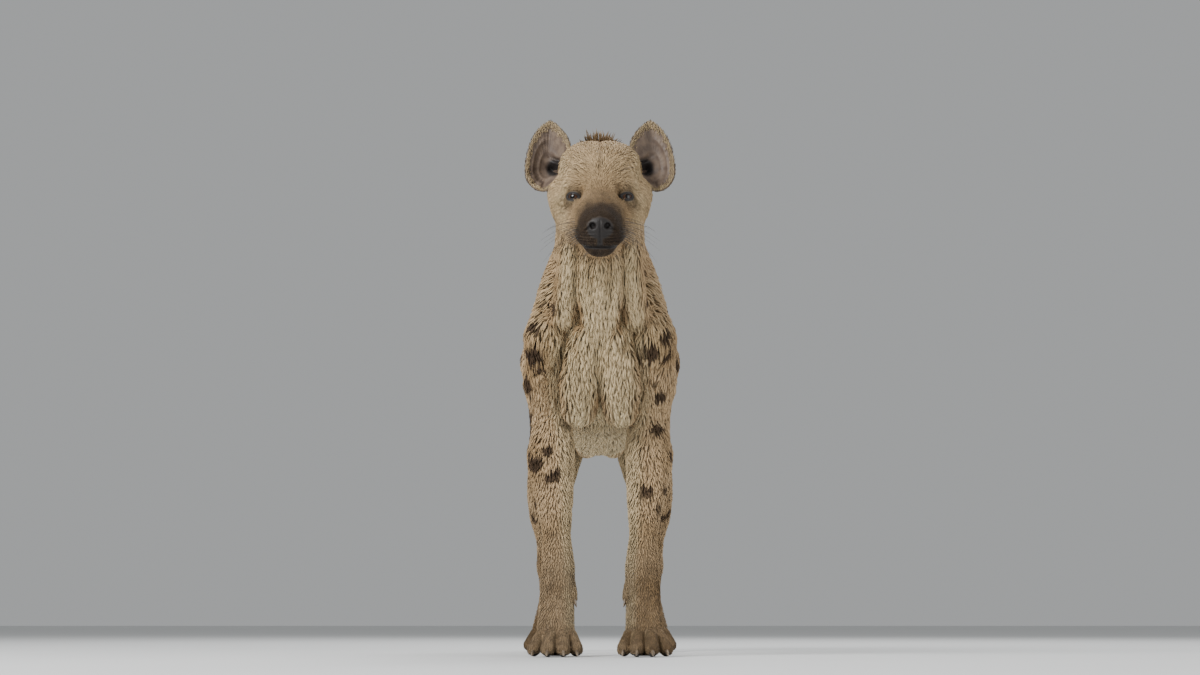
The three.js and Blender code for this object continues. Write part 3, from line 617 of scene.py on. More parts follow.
def wrapped(values: np.ndarray, axes: Sequence[np.ndarray]) -> Shell:
    """Wraps the negative values of a grid in a surface, one point to a cell.

    Args:
        values: The distance at each corner of the grid.
        axes: The places of the grid's planes along each axis.

    Returns:
        The surface, with its triangles facing outwards.
    """
    inside = values < 0
    shape = tuple(n - 1 for n in values.shape)
    total, many = np.zeros((*shape, 3)), np.zeros(shape)
    crossings = []
    for axis in range(3):
        low = tuple(slice(0, -1) if i == axis else slice(None) for i in range(3))
        high = tuple(slice(1, None) if i == axis else slice(None) for i in range(3))
        crossed = np.argwhere(inside[low] != inside[high])
        ends = crossed.copy()
        ends[:, axis] += 1
        first, last = values[tuple(crossed.T)], values[tuple(ends.T)]
        place = np.column_stack([axes[i][crossed[:, i]] for i in range(3)])
        gap = axes[axis][ends[:, axis]] - axes[axis][crossed[:, axis]]
        place[:, axis] += gap * first / (first - last)
        crossings.append((axis, crossed, first < 0))
        b, c = (axis + 1) % 3, (axis + 2) % 3
        for back in ((0, 0), (1, 0), (0, 1), (1, 1)):
            cell = crossed.copy()
            cell[:, b] -= back[0]
            cell[:, c] -= back[1]
            fits = np.all((cell >= 0) & (cell < shape), axis=1)
            where = tuple(cell[fits].T)
            np.add.at(total, where, place[fits])
            np.add.at(many, where, 1)
    number = np.full(shape, -1)
    used = many > 0
    number[used] = np.arange(used.sum())
    points = total[used] / many[used][:, None]
    faces = []
    for axis, crossed, leaving in crossings:
        b, c = (axis + 1) % 3, (axis + 2) % 3
        corners = []
        for back in ((1, 1), (0, 1), (0, 0), (1, 0)):
            cell = crossed.copy()
            cell[:, b] -= back[0]
            cell[:, c] -= back[1]
            corners.append(number[tuple(cell.T)])
        quads = np.column_stack(corners)
        quads = np.where(leaving[:, None], quads, quads[:, ::-1])
        faces += [quads[:, [0, 1, 2]], quads[:, [0, 2, 3]]]
    return Shell(points, np.concatenate(faces))


@dataclass(frozen=True)
class EyePlace:
    """Where the left eye sits and how its lids open.

    Attributes:
        centre: The middle of the ball.
        gaze: The way it looks.
        across: Out along the opening.
        up: Up across the opening.
        radius: Of the ball.
        half_width: Of the opening between the lids, along the ball.
        half_height: Of the same.
        tilt: How fast the opening climbs outwards.
    """

    centre: np.ndarray
    gaze: np.ndarray
    across: np.ndarray
    up: np.ndarray
    radius: float = 15.0
    half_width: float = 10.8
    half_height: float = 5.5
    tilt: float = 0.12

    @classmethod
    def found(cls, flesh: Flesh) -> "EyePlace":
        """Finds the place from the surface of the head, as the solids do.

        Args:
            flesh: The body.

        Returns:
            The place of the left eye.
        """
        gaze = np.array((0.4, -0.9, 0.1)) / np.linalg.norm((0.4, -0.9, 0.1))
        opening = flesh.outward(on_head(48, 20, -17), FORWARD)
        across = np.cross((0.0, 0.0, 1.0), gaze)
        across /= np.linalg.norm(across)
        if across[0] < 0:
            across = -across
        up = np.cross(across, gaze)
        up *= math.copysign(1.0, up[2])
        return cls(opening - gaze * 13.0, gaze, across, up)

    def seen(self, points: np.ndarray) -> tuple[np.ndarray, np.ndarray, np.ndarray]:
        """Gives how far across, up and along the gaze each point of either side lies."""
        mirrored = leftward(points) - self.centre
        return mirrored @ self.across, mirrored @ self.up, mirrored @ self.gaze

    def opening(self, points: np.ndarray) -> np.ndarray:
        """Gives 1 on the edge of the opening, less inside it and more outside, along the ball.

        Args:
            points: Places on either side.

        Returns:
            A number for each.
        """
        across, up, ahead = self.seen(points)
        aside = np.hypot(across, up)
        bend = self.radius * np.arctan2(aside, ahead) / np.maximum(aside, 1e-6)
        tilted = up - self.tilt * across
        return np.hypot(across * bend / self.half_width, tilted * bend / self.half_height)

    def on_ball(self, across: np.ndarray, up: np.ndarray, far: float) -> np.ndarray:
        """Places points over the ball.

        Args:
            across: How far across each lies, along the ball.
            up: How far up each lies, along the ball.
            far: How far from the middle of the ball.

        Returns:
            The points.
        """
        arc = np.maximum(np.hypot(across, up), 1e-6)[:, None]
        aside = (self.across * across[:, None] + self.up * up[:, None]) / arc
        turn = arc / self.radius
        return self.centre + far * (self.gaze * np.cos(turn) + aside * np.sin(turn))


# The line of the mouth in the frame of the head: forward and up
LIPS: tuple[tuple[float, float], ...] = ((136, -75), (164, -86), (196, -93), (224, -94.5), (252, -96))


def lip_height(forward: np.ndarray) -> np.ndarray:
    """Gives how high the line of the mouth runs in the frame of the head."""
    return np.interp(forward, *np.array(LIPS).T)


@dataclass
class CoatLie:
    """How the coat lies and how long it is, over the whole body.

    Attributes:
        eye: The middle of the left eye.
        blend: How far one part's coat runs into the next, in millimetres.
    """

    eye: np.ndarray
    blend: float = 22.0

    def weights(self, apart: np.ndarray) -> np.ndarray:
        """Gives each part's share in every point, from its distance to the parts."""
        share = np.exp(-(apart - apart.min(axis=1, keepdims=True)) / self.blend)
        return share / share.sum(axis=1, keepdims=True)

    def depth(self, points: np.ndarray, weights: np.ndarray) -> np.ndarray:
        """Gives how deep the coat is: from the skin out to the surface of the solids.

        Args:
            points: Places on the skin.
            weights: Each part's share in every point.

        Returns:
            The depth at each.
        """
        forward, height = in_head(points)[1], points[:, 2]
        leg = 1.6 + 2.0 * ease(height, 120, 330) + 4.2 * ease(height, 330, 560)
        head = 3.4 - 2.4 * ease(forward, 20, 120)
        deep = {Part.TRUNK: 8.4, Part.NECK: 7.0, Part.HEAD: head, Part.FORELEG: leg, Part.HINDLEG: leg,
                Part.FOREPAW: 1.2, Part.HINDPAW: 1.2, Part.TAIL: 6.0}
        found = sum(weights[:, part] * value for part, value in deep.items())
        throat = weights[:, Part.NECK] * ease(points[:, 1], -290, -380)
        return found - 3.0 * throat

    def ways(self, points: np.ndarray, normals: np.ndarray, weights: np.ndarray) -> np.ndarray:
        """Gives the way that the coat lies: back on the head and trunk, down on the legs.

        Args:
            points: Places on the skin.
            normals: The outward direction at each.
            weights: Each part's share in every point.

        Returns:
            A vector along the skin for each point.
        """
        ones, side, height = np.ones(len(points)), np.abs(points[:, 0]), points[:, 2]
        outwards = np.sign(points[:, 0])
        flank = ease(np.abs(normals[:, 0]), 0.2, 0.9)
        breast = ease(normals[:, 1], -0.3, -0.8)
        high = ease(height, 540, 700)
        down = {
            Part.TRUNK: (0 * ones, 1 - 0.8 * breast, -0.12 - 0.5 * flank - 1.1 * breast),
            Part.NECK: (0 * ones, 0.62 - 0.5 * breast, -0.78 * ones),
            Part.HEAD: (0.15 * outwards, 0.96 * ones, 0.24 - 0.75 * ease(side, 30, 62)),
            Part.FORELEG: (0 * ones, 0.3 + 0.6 * high, -1 + 0.8 * high),
            Part.HINDLEG: (0 * ones, 0.45 + 0.45 * high, -1 + 0.7 * high),
            Part.FOREPAW: (0 * ones, -0.9 * ones, -0.5 * ones),
            Part.HINDPAW: (0 * ones, -0.9 * ones, -0.5 * ones),
            Part.TAIL: (0 * ones, 0.72 * ones, -0.69 * ones),
        }
        ways = sum(weights[:, [part]] * np.column_stack(way) for part, way in down.items())
        return laid_on(ways, normals)

    def facts(self, points: np.ndarray, normals: np.ndarray, weights: np.ndarray) -> dict[str, np.ndarray]:
        """Works out everything that the coat and its colours need to know.

        Args:
            points: Places on the skin.
            normals: The outward direction at each.
            weights: Each part's share in every point.

        Returns:
            Numbers and vectors for each point, under their names. Lengths are in metres.
        """
        _, forward, up = in_head(points)
        side, along, height = np.abs(points[:, 0]), points[:, 1], points[:, 2]
        ones = np.ones(len(points))

        def spread(*parts: Union[float, np.ndarray]) -> np.ndarray:
            """Weighs one value for each part of the body by its share."""
            return sum(weights[:, i] * value for i, value in enumerate(parts))

        outwards = np.sign(points[:, 0])
        leg_long = 9 + 7 * ease(height, 140, 330) + 14 * ease(height, 330, 560)
        leg_wide = 2.3 + 0.8 * ease(height, 140, 330) + 1.5 * ease(height, 330, 560)
        face = ease(forward, -10, 110)
        mask = 0.46 * ease(forward + 24 * ease(side, 30, 2), 96, 184)
        mask = mask + 0.44 * ease(forward, 158, 214) + 0.30 * ease(np.abs(up - lip_height(forward)), 16, 3)
        mask = np.clip(mask, 0, 0.84) * ease(forward, 60, 130)
        mask = np.maximum(mask, 0.17 * ease(forward, 10, 120))
        ring = np.linalg.norm(points * (outwards[:, None] * (1, 0, 0) + (0, 1, 1)) - self.eye, axis=1)
        long = spread(34, 31, 14 - 9.2 * face, leg_long, leg_long, 5.5, 5.5, 34)
        wide = spread(4.5, 4.0, 2.4 - 1.1 * face, leg_wide, leg_wide, 1.45, 1.45, 4.2)
        rise = self.depth(points, weights) * 1.02
        legs = weights[:, Part.FORELEG] + weights[:, Part.HINDLEG]
        belly = ease(normals[:, 2], -0.45, -0.85) * weights[:, Part.TRUNK] * ease(height, 520, 450)
        inner = ease(normals[:, 0] * outwards, -0.1, -0.6) * legs
        throat = (weights[:, Part.NECK] + weights[:, Part.TRUNK]) * ease(normals[:, 1], -0.35, -0.75)
        spotty = spread(
            1.0, 0.62 * ease(height, 690, 600) + 0.25, 0 * ones,
            0.25 + 0.75 * ease(height, 210, 420), 0.3 + 0.7 * ease(height, 190, 380), 0.12, 0.12, 0.25)
        breast = ease(side, 78, 50) * ease(along, -170, -225)
        spotty = spotty * (1 - 0.75 * belly) * (1 - 0.8 * throat) * (1 - 0.7 * inner) * (1 - breast)
        ears = ease(np.hypot(side - 70, np.hypot(along + 290, height - 885)), 70, 40) * weights[:, Part.HEAD]
        dark = spread(
            0.0, 0.06, np.clip(mask + 0.5 * ease(ring, 36, 15), 0, 0.92), 0.42 * ease(height, 300, 120),
            0.40 * ease(height, 260, 110), 0.5, 0.48, 0.25 + 0.75 * ease(height, 590, 545))
        dark = np.clip(dark + 0.16 * ears, 0, 1)
        pale = np.clip(0.75 * belly + 0.6 * throat + 0.55 * inner
                       + 0.35 * weights[:, Part.HEAD] * ease(side, 40, 62) * (1 - mask), 0, 1)
        return {
            "lie": self.ways(points, normals, weights), "facing": normals, "root": metres(points),
            "long": long / 1000, "wide": wide / 1000, "rise": rise / 1000,
            "spotty": spotty, "dark": dark, "pale": pale,
            "bare": 0 * ones, "cover": ones,
        }


@dataclass
class Skin:
    """One skin over the whole body, with the folds of the face.

    Attributes:
        flesh: The field that it lies in.
        eye: Where the eyes sit.
        lie: How the coat lies on it.
        sole: How far the lowest points stay above the floor, in millimetres.
        shell: The finished surface, once made.
        weights: Each part's share in every point of it.
    """

    flesh: Flesh
    eye: EyePlace
    lie: CoatLie
    sole: float = 0.8
    shell: Shell = field(init=False)
    weights: np.ndarray = field(init=False)

    def axes(self) -> tuple[np.ndarray, np.ndarray, np.ndarray]:
        """Spaces the grid's planes: close together at the paws and the head.

        Returns:
            The planes out from the middle, along and up.
        """
        half = np.concatenate((np.arange(0, 150, 5.5), np.arange(151, 176, 6)))
        along = np.concatenate((np.arange(-600, -190, 5.5), np.arange(-190, 660, 7.0)))
        up = np.concatenate((np.arange(-10, 62, 4.0), np.arange(62, 700, 7.0), np.arange(703, 985, 6.0)))
        return half, along, up

    def grid_shell(self) -> Shell:
        """Wraps the body, set in by a first guess of the coat's depth.

        Returns:
            The rough surface of both sides.
        """
        half, along, up = self.axes()
        grid = np.stack(np.meshgrid(half, along, up, indexing="ij"), axis=-1).reshape(-1, 3)
        values = np.empty(len(grid))
        at_once = 200_000
        for start in range(0, len(grid), at_once):
            block = slice(start, start + at_once)
            values[block] = self.flesh.distance(grid[block])
        height = grid[:, 2]
        values += 1.5 + 3.5 * ease(height, 300, 560) * ease(grid[:, 1], -430, -330)
        values = values.reshape(len(half), len(along), len(up))
        both = np.concatenate((values[:0:-1], values))
        return wrapped(both, (np.concatenate((-half[:0:-1], half)), along, up))

    def wanted_edge(self, points: np.ndarray) -> np.ndarray:
        """Gives the longest edge allowed at each place: short on the face.

        Args:
            points: Places in the animal's frame.

        Returns:
            The length at each.
        """
        out, forward, up = in_head(points)
        in_front = ease(points[:, 1], -250, -330) * ease(points[:, 2], 640, 700)
        wanted = 13.0 - 6.5 * in_front
        wanted = np.where((forward > 30) & (in_front > 0.5), 4.4, wanted)
        crown = (forward < 110) & (forward > -100) & (up > 0) & (in_front > 0.5)
        wanted = np.where(crown, 3.6, wanted)
        near_eye = np.linalg.norm(leftward(points) - self.eye.centre, axis=1)
        wanted = np.where(near_eye < 26, 1.5, wanted)
        nose = np.abs(forward - 226) + np.abs(up + 68) * 0.5 + np.abs(out) * 0.5
        wanted = np.where(nose < 34, 2.0, wanted)
        lips = (np.abs(up - lip_height(forward)) < 7) & (forward > 128)
        wanted = np.where(lips, 2.2, wanted)
        return np.where(points[:, 2] < 60, 7.0, wanted)

    def build(self) -> Shell:
        """Makes the skin.

        Returns:
            The finished surface, with the facts that the coat needs.
        """
        shell = self.grid_shell()
        LOG.info("skin: %d triangles from the grid", len(shell.faces))
        _, apart = self.flesh.survey(shell.points)
        shell.facts = {"depth": self.lie.depth(shell.points, self.lie.weights(apart))}
        shell.points = self.flesh.settle(shell.points, shell.facts["depth"], 2)
        for _ in range(4):
            shell = shell.refined(self.wanted_edge)
        LOG.info("skin: %d triangles once refined", len(shell.faces))
        shell.points = shell.smoothed(0.4)
        shell.points = self.flesh.settle(shell.points, shell.facts["depth"], 2)
        shell.points[:, 2] = np.maximum(shell.points[:, 2], self.sole)
        _, apart = self.flesh.survey(shell.points)
        self.weights = self.lie.weights(apart)
        bare = self.open_eyes(shell)
        shell.points, marks, crease_shade = self.fold(shell)
        shell.facts = self.lie.facts(shell.points, shell.normals(), self.weights)
        # Painted shade: the sunken wrinkles of the face are darkened in the coat's colour, by their depth.
        shell.facts["dark"] = np.clip(shell.facts["dark"] + 0.34 * crease_shade, 0, 1)
        self.mark_bare(shell, np.maximum(bare, marks))
        self.shell = shell
        return shell

    def open_eyes(self, shell: Shell) -> np.ndarray:
        """Sinks the skin behind each eyeball and raises the lids round it.

        Args:
            shell: The skin, whose points are moved.

        Returns:
            How bare each point is.
        """
        side = np.where(shell.points[:, :1] < 0, -1.0, 1.0) * (1.0, 0, 0) + (0, 1.0, 1.0)
        mirrored = shell.points * side - self.eye.centre
        far = np.linalg.norm(mirrored, axis=1)
        open_ = self.eye.opening(shell.points)
        lid = self.eye.radius + 0.9 + 1.5 * ease(open_, 1.0, 1.3)
        wanted = np.maximum(far, lid)
        crease = bell((open_ - 2.0) / 0.22) * ease(self.eye.seen(shell.points)[1], -2, 4)
        wanted -= 1.5 * crease
        wanted = np.where(open_ < 1.0, self.eye.radius - 2.5, wanted)
        near = far < 21
        moved = self.eye.centre + mirrored * (wanted / np.maximum(far, 1e-6))[:, None]
        shell.points[near] = (moved * side)[near]
        return ease(open_, 1.75, 1.25) * ease(far, 23, 19)

    def fold(self, shell: Shell) -> tuple[np.ndarray, np.ndarray, np.ndarray]:
        """Presses in the nostrils, the mouth and the wrinkles.

        Args:
            shell: The skin.

        Returns:
            The moved points, how bare each is, and how deep in a crease.
        """
        points, normals = shell.points.copy(), shell.normals()
        out, forward, up = in_head(points)
        side, front = np.abs(out), ease(forward, 190, 212)
        sunk = self.pressed(out, forward, up)
        points -= FORWARD * (sunk * front)[:, None]
        points -= normals * (sunk * (1 - front))[:, None]
        wrinkle = self.wrinkled(points, out, forward, up)
        # How deep each point lies in a wrinkle's crease, kept for the painted shade there.
        crease_shade = np.clip(-wrinkle / 1.5, 0, 1)
        rings = self.weights[:, Part.NECK] * ease(side, 24, 12) * ease(points[:, 1], -300, -340)
        wrinkle += 1.0 * rings * np.sin(2 * math.pi * points[:, 2] / 15.0)
        points += normals * wrinkle[:, None]
        by_ear = np.exp(-(((points[:, 2] - 887) / 26) ** 4)) * ease(points[:, 1], -258, -284)
        points[:, 0] -= np.sign(out) * 0.72 * np.maximum(side - 66, 0) * by_ear
        pad = ease(np.sqrt((side / 23) ** 2 + ((up + 62) / 19) ** 2), 1.08, 0.86) * ease(forward, 198, 212)
        strip = ease(side, 6, 3) * ease(up, -96, -90) * ease(up, -60, -72) * front
        lips = ease(np.abs(up - lip_height(forward)), 4.6, 2.6) * ease(forward, 130, 145)
        lips = lips * self.weights[:, Part.HEAD]
        return points, np.clip(np.maximum(np.maximum(pad, strip), lips), 0, 1), crease_shade

    def pressed(self, out: np.ndarray, forward: np.ndarray, up: np.ndarray) -> np.ndarray:
        """Gives how deep the nostrils, the groove between them and the mouth go.

        Args:
            out: How far out from the middle of the head each point lies.
            forward: How far forward it lies.
            up: How far up it lies.

        Returns:
            The depth at each.
        """
        side, head, front = np.abs(out), self.weights[:, Part.HEAD], ease(forward, 190, 212)
        hole = bell(((side - 12.5) / 5.2) ** 2 + ((up + 58) / 5.0) ** 2)
        slit = bell((up + 57 + 0.62 * (side - 12)) / 2.4) * ease(side, 11, 14) * ease(side, 30, 22)
        groove = bell(out / 1.5) * ease(up, -94, -86) * ease(up, -46, -56) * front
        line = up - lip_height(forward)
        mouth = bell(line / 1.9) * ease(forward, 132, 150) * head
        lip = bell((line - 5) / 3.2) * ease(forward, 140, 165) * head
        return 9.0 * np.maximum(hole, 0.5 * slit) * front + 2.4 * groove + 3.6 * mouth - 0.9 * lip

    def wrinkled(
        self, points: np.ndarray, out: np.ndarray, forward: np.ndarray, up: np.ndarray
    ) -> np.ndarray:
        """Gives how far the wrinkles of crown, brow and upper lip stand out.

        Args:
            points: Places in the animal's frame.
            out: How far out from the middle of the head each lies.
            forward: How far forward it lies.
            up: How far up it lies.

        Returns:
            The height at each.
        """
        side, head, line = np.abs(out), self.weights[:, Part.HEAD], up - lip_height(forward)
        crown = ease(forward, 78, 40) * ease(forward, -95, -40) * ease(up, 8, 30) * ease(side, 78, 60) * head
        chevrons = np.sin(2 * math.pi * (forward - 0.85 * side) / 14.0) * ease(side, 3, 14)
        middle = bell(side / 3.0) * ease(points[:, 1], -316, -340) * ease(forward, 108, 80)
        middle = middle * ease(up, -20, 5) * head
        upper_lip = ease(line, 2, 8) * ease(line, 34, 20) * ease(forward, 150, 175) * head
        rows = np.sin(2 * math.pi * line / 5.2) * ease(side, 5, 10)
        brow = np.sin(2 * math.pi * (up - 0.7 * side) / 8.0)
        brow = brow * bell((forward - 84) / 16, (side - 30) / 14) * head
        return 2.1 * crown * chevrons - 2.8 * middle + 0.6 * upper_lip * rows + 1.7 * brow

    def mark_bare(self, shell: Shell, bare: np.ndarray) -> None:
        """Notes where no coat grows: nose, lips, lids and pads.

        Args:
            shell: The skin, whose facts are changed.
            bare: How bare each point of the face is.
        """
        paws = self.weights[:, Part.FOREPAW] + self.weights[:, Part.HINDPAW]
        facing = shell.facts["facing"]
        pads = ease(facing[:, 2], -0.35, -0.75) * ease(shell.points[:, 2], 26, 14) * (paws > 0.4)
        floor = ease(shell.points[:, 2], 4.5, 2.5) * (paws > 0.4)
        shell.facts["bare"] = np.clip(np.maximum(bare, np.maximum(pads, floor)), 0, 1)
        shell.facts["cover"] = 1.0 - ease(shell.facts["bare"], 0.15, 0.6)


class Value:
    """A number that varies, held by a node's output. Operators on it add Math nodes."""

    def __init__(self, graph: "Graph", socket: bpy.types.NodeSocket) -> None:
        """Wraps an output of a node in a graph."""
        self.graph = graph
        self.socket = socket

    def math(self, operation: str, *others: "Number", first: bool = True) -> "Value":
        """Adds one Math node.

        Args:
            operation: The node's operation.
            others: The other numbers of it.
            first: Whether this value comes before the others.

        Returns:
            The node's result.
        """
        terms = [self, *others] if first else [*others, self]
        return self.graph.add("ShaderNodeMath", {"operation": operation}, dict(enumerate(terms))).out("Value")

    def __add__(self, other: "Number") -> "Value":
        """Adds."""
        return self.math("ADD", other)

    __radd__ = __add__

    def __sub__(self, other: "Number") -> "Value":
        """Takes away."""
        return self.math("SUBTRACT", other)

    def __rsub__(self, other: "Number") -> "Value":
        """Takes this from the other."""
        return self.math("SUBTRACT", other, first=False)

    def __mul__(self, other: "Number") -> "Value":
        """Multiplies."""
        return self.math("MULTIPLY", other)

    __rmul__ = __mul__

    def __truediv__(self, other: "Number") -> "Value":
        """Divides."""
        return self.math("DIVIDE", other)

    def __pow__(self, other: "Number") -> "Value":
        """Raises to a power."""
        return self.math("POWER", other)

    def most(self, other: "Number") -> "Value":
        """Gives the larger of the two."""
        return self.math("MAXIMUM", other)

    def ease(self, low: "Number", high: "Number", to_low: "Number" = 0.0, to_high: "Number" = 1.0) -> "Value":
        """Goes smoothly from one number to another between two bounds."""
        node = self.graph.add("ShaderNodeMapRange", {"interpolation_type": "SMOOTHSTEP"}, {
            "Value": self, "From Min": low, "From Max": high, "To Min": to_low, "To Max": to_high})
        return node.out("Result")


Number = Union[Value, float]
Input = Union[Value, float, int, tuple, str, bpy.types.ID]


def in_use(sockets: Sequence[bpy.types.NodeSocket], key: Union[str, int]) -> bpy.types.NodeSocket:
    """Gives the socket at a place, or the one of that name that is in use."""
    found = [s for place, s in enumerate(sockets) if key == place or (s.name == key and s.enabled)]
    return (found or [sockets[key]])[0]


@dataclass
class Node:
    """A node that was added to a graph."""

    graph: "Graph"
    node: bpy.types.Node

    def out(self, name: str) -> Value:
        """Gives the output of that name that is in use."""
        return Value(self.graph, in_use(self.node.outputs, name))


class Graph:
    """Adds the nodes of one shader or of one geometry tree."""

    def __init__(self, tree: bpy.types.NodeTree) -> None:
        """Starts with the tree's nodes cleared."""
        self.tree = tree
        tree.nodes.clear()

    def add(self, kind: str, settings: dict[str, object], values: dict[Union[str, int], Input]) -> Node:
        """Adds a node.

        Args:
            kind: The node's type.
            settings: Its settings, which are set first.
            values: A value or a link for each input, by its name or place.

        Returns:
            The node.
        """
        node = self.tree.nodes.new(kind)
        for name, setting in settings.items():
            setattr(node, name, setting)
        for key, value in values.items():
            socket = in_use(node.inputs, key)
            if isinstance(value, Value):
                self.tree.links.new(value.socket, socket)
            else:
                socket.default_value = value
        return Node(self, node)

    def vector(self, operation: str, *terms: Input) -> Value:
        """Adds a Vector Math node; SCALE takes its factor as the second term.

        Args:
            operation: The node's operation.
            terms: Its vectors and numbers.

        Returns:
            The result.
        """
        values: dict[Union[str, int], Input] = dict(enumerate(terms))
        if operation == "SCALE":
            values = {0: terms[0], "Scale": terms[1]}
        node = self.add("ShaderNodeVectorMath", {"operation": operation}, values)
        return node.out("Value" if operation in ("LENGTH", "DISTANCE", "DOT_PRODUCT") else "Vector")

    def mixed(self, factor: Number, first: Input, last: Input) -> Value:
        """Mixes two colours by a factor."""
        node = self.add("ShaderNodeMix", {"data_type": "RGBA"}, {"Factor": factor, "A": first, "B": last})
        return node.out("Result")

    def split(self, vector: Value) -> tuple[Value, Value, Value]:
        """Gives the three numbers of a vector."""
        node = self.add("ShaderNodeSeparateXYZ", {}, {0: vector})
        return node.out("X"), node.out("Y"), node.out("Z")

    def joined(self, x: Number, y: Number, z: Number) -> Value:
        """Makes a vector of three numbers."""
        return self.add("ShaderNodeCombineXYZ", {}, {0: x, 1: y, 2: z}).out("Vector")

    def noise(self, place: Value, scale: float, detail: float = 2.0, colour: bool = False) -> Value:
        """Adds cloudy noise at a place."""
        node = self.add("ShaderNodeTexNoise", {}, {"Vector": place, "Scale": scale, "Detail": detail})
        return node.out("Color" if colour else "Fac")


def colour(code: str) -> tuple[float, float, float, float]:
    """Turns a written colour such as b9a07a into the light that a shader reckons with."""
    parts = [int(code[i:i + 2], 16) / 255 for i in (0, 2, 4)]
    return (*[p / 12.92 if p <= 0.04045 else ((p + 0.055) / 1.055) ** 2.4 for p in parts], 1.0)


class Slot(Enum):
    """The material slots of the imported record."""

    COAT = "coat"
    LEG_COAT = "leg_coat"
    DARK_COAT = "dark_coat"
    EAR_SKIN = "ear_skin"
    EYE = "eye"
    HORN = "horn"


class Surface(Enum):
    """What a coat finish is laid on."""

    SKIN = "skin"
    TUFTS = "tufts"


@dataclass(frozen=True)
class CoatFinish:
    """The spotted coat, on the skin and on the tufts alike.

    Attributes:
        ground: The sandy colour between the spots.
        warm: What the ground drifts to in places.
        pale: The belly, throat and inner legs.
        spot: The spots.
        dark: The muzzle, feet and brush, and the painted shade in the face's creases and in the ear's way in.
        bare: Nose, lips, lids and pads.
        pebble: The lighter grain of the same.
        spots_per_metre: How close the spots stand.
    """

    ground: str = "b09674"
    warm: str = "8f7553"
    pale: str = "c6b591"
    spot: str = "35261b"
    dark: str = "2b211a"
    bare: str = "151211"
    pebble: str = "241f1d"
    spots_per_metre: float = 20.0

    def markings(self, graph: Graph) -> Value:
        """Makes the colour of the coat from where each hair is rooted.

        Args:
            graph: The shader's graph.

        Returns:
            The colour.
        """
        root = self.fact(graph, "root", "Vector")
        spotty, dark, pale = (self.fact(graph, name, "Fac") for name in ("spotty", "dark", "pale"))
        drift = graph.noise(root, 7.0, 3.0)
        ground = graph.mixed(drift.ease(0.38, 0.68), colour(self.ground), colour(self.warm))
        height = graph.split(root)[2]
        ground = graph.mixed(height.ease(0.62, 0.80, 0.0, 0.30), ground, colour(self.warm))
        ground = graph.mixed(pale, ground, colour(self.pale))
        wobble = graph.vector("SUBTRACT", graph.noise(root, 16.0, 2.0, colour=True), (0.5, 0.5, 0.5))
        ragged = graph.vector("SUBTRACT", graph.noise(root, 75.0, 2.0, colour=True), (0.5, 0.5, 0.5))
        place = graph.vector("ADD", root, graph.vector("SCALE", wobble, 0.026))
        place = graph.vector("ADD", place, graph.vector("SCALE", ragged, 0.008))
        cells = graph.add("ShaderNodeTexVoronoi", {"feature": "F1"}, {
            "Vector": place, "Scale": self.spots_per_metre, "Randomness": 0.82})
        lot = graph.split(cells.out("Color"))[0]
        size = (lot * 0.17 + 0.25) * (spotty * 0.45 + 0.55)
        edge = cells.out("Distance") - size
        spot = edge.ease(0.04, -0.05) * spotty.ease(0.02, 0.65) * 0.93
        coat = graph.mixed(spot, ground, colour(self.spot))
        patchy = (graph.noise(root, 70.0, 3.0) - 0.5) * (dark * (1 - dark)) * 2.4
        return graph.mixed((dark + patchy).ease(0.0, 1.0), coat, colour(self.dark))

    @staticmethod
    def fact(graph: Graph, name: str, output: str) -> Value:
        """Reads a fact of the mesh by its name."""
        return graph.add("ShaderNodeAttribute", {"attribute_name": name}, {}).out(output)

    def material(self, name: str, surface: Surface) -> bpy.types.Material:
        """Makes the material.

        Args:
            name: Its name.
            surface: Whether it lies on the skin or on tufts.

        Returns:
            The material.
        """
        made, graph = new_material(name)
        coat = self.markings(graph)
        if surface is Surface.TUFTS:
            blade = self.fact(graph, "blade", "Vector")
            across, along, lot = graph.split(blade)
            strands = graph.noise(graph.joined(across * 7.0 + lot * 90, along * 0.9, lot * 37), 1.0, 2.0)
            # Painted shade: each tuft is darkened towards its root, as the shade deep down in the coat, and
            # lightened towards its tip as the hair's own paler banding; the strands and each tuft's random
            # tone vary it too.
            shade = along.ease(0.0, 0.6, 0.70, 1.12) * strands.ease(0.25, 0.75, 0.78, 1.2)
            shade = shade * (lot * 0.30 + 0.86)
            lit = graph.vector("SCALE", coat, shade)
            bump = graph.add("ShaderNodeBump", {}, {"Strength": 0.5, "Distance": 0.0008, "Height": strands})
            finish_surface(graph, lit, strands.ease(0.2, 0.8, 0.62, 0.80), bump.out("Normal"),
                           {"Specular IOR Level": 0.2})
            return made
        place = graph.add("ShaderNodeTexCoord", {}, {}).out("Object")
        hair = graph.noise(graph.vector("MULTIPLY", place, (1.0, 0.35, 0.45)), 900.0, 2.0)
        bare = self.fact(graph, "bare", "Fac")
        pebbles = graph.add("ShaderNodeTexVoronoi", {"feature": "F1"}, {
            "Vector": place, "Scale": 620.0}).out("Distance")
        # Painted shade: the skin between the tufts takes the coat's colour darkened to between 62 and 88
        # percent, as the shade down among the hair, broken by a fine grain of short hair.
        under = graph.vector("SCALE", coat, hair.ease(0.3, 0.7, 0.62, 0.88))
        skin = graph.mixed(pebbles.ease(0.1, 0.7), colour(self.bare), colour(self.pebble))
        height = hair * (1 - bare) + pebbles * bare * 0.7
        bump = graph.add("ShaderNodeBump", {}, {"Strength": 0.55, "Distance": 0.0007, "Height": height})
        finish_surface(graph, graph.mixed(bare, under, skin), bare * -0.34 + 0.82, bump.out("Normal"),
                       {"Specular IOR Level": 0.35})
        return made


def new_material(name: str) -> tuple[bpy.types.Material, Graph]:
    """Makes a material with an empty graph.

    Args:
        name: Its name.

    Returns:
        The material and its graph.
    """
    made = bpy.data.materials.new(name)
    made.use_nodes = True
    return made, Graph(made.node_tree)


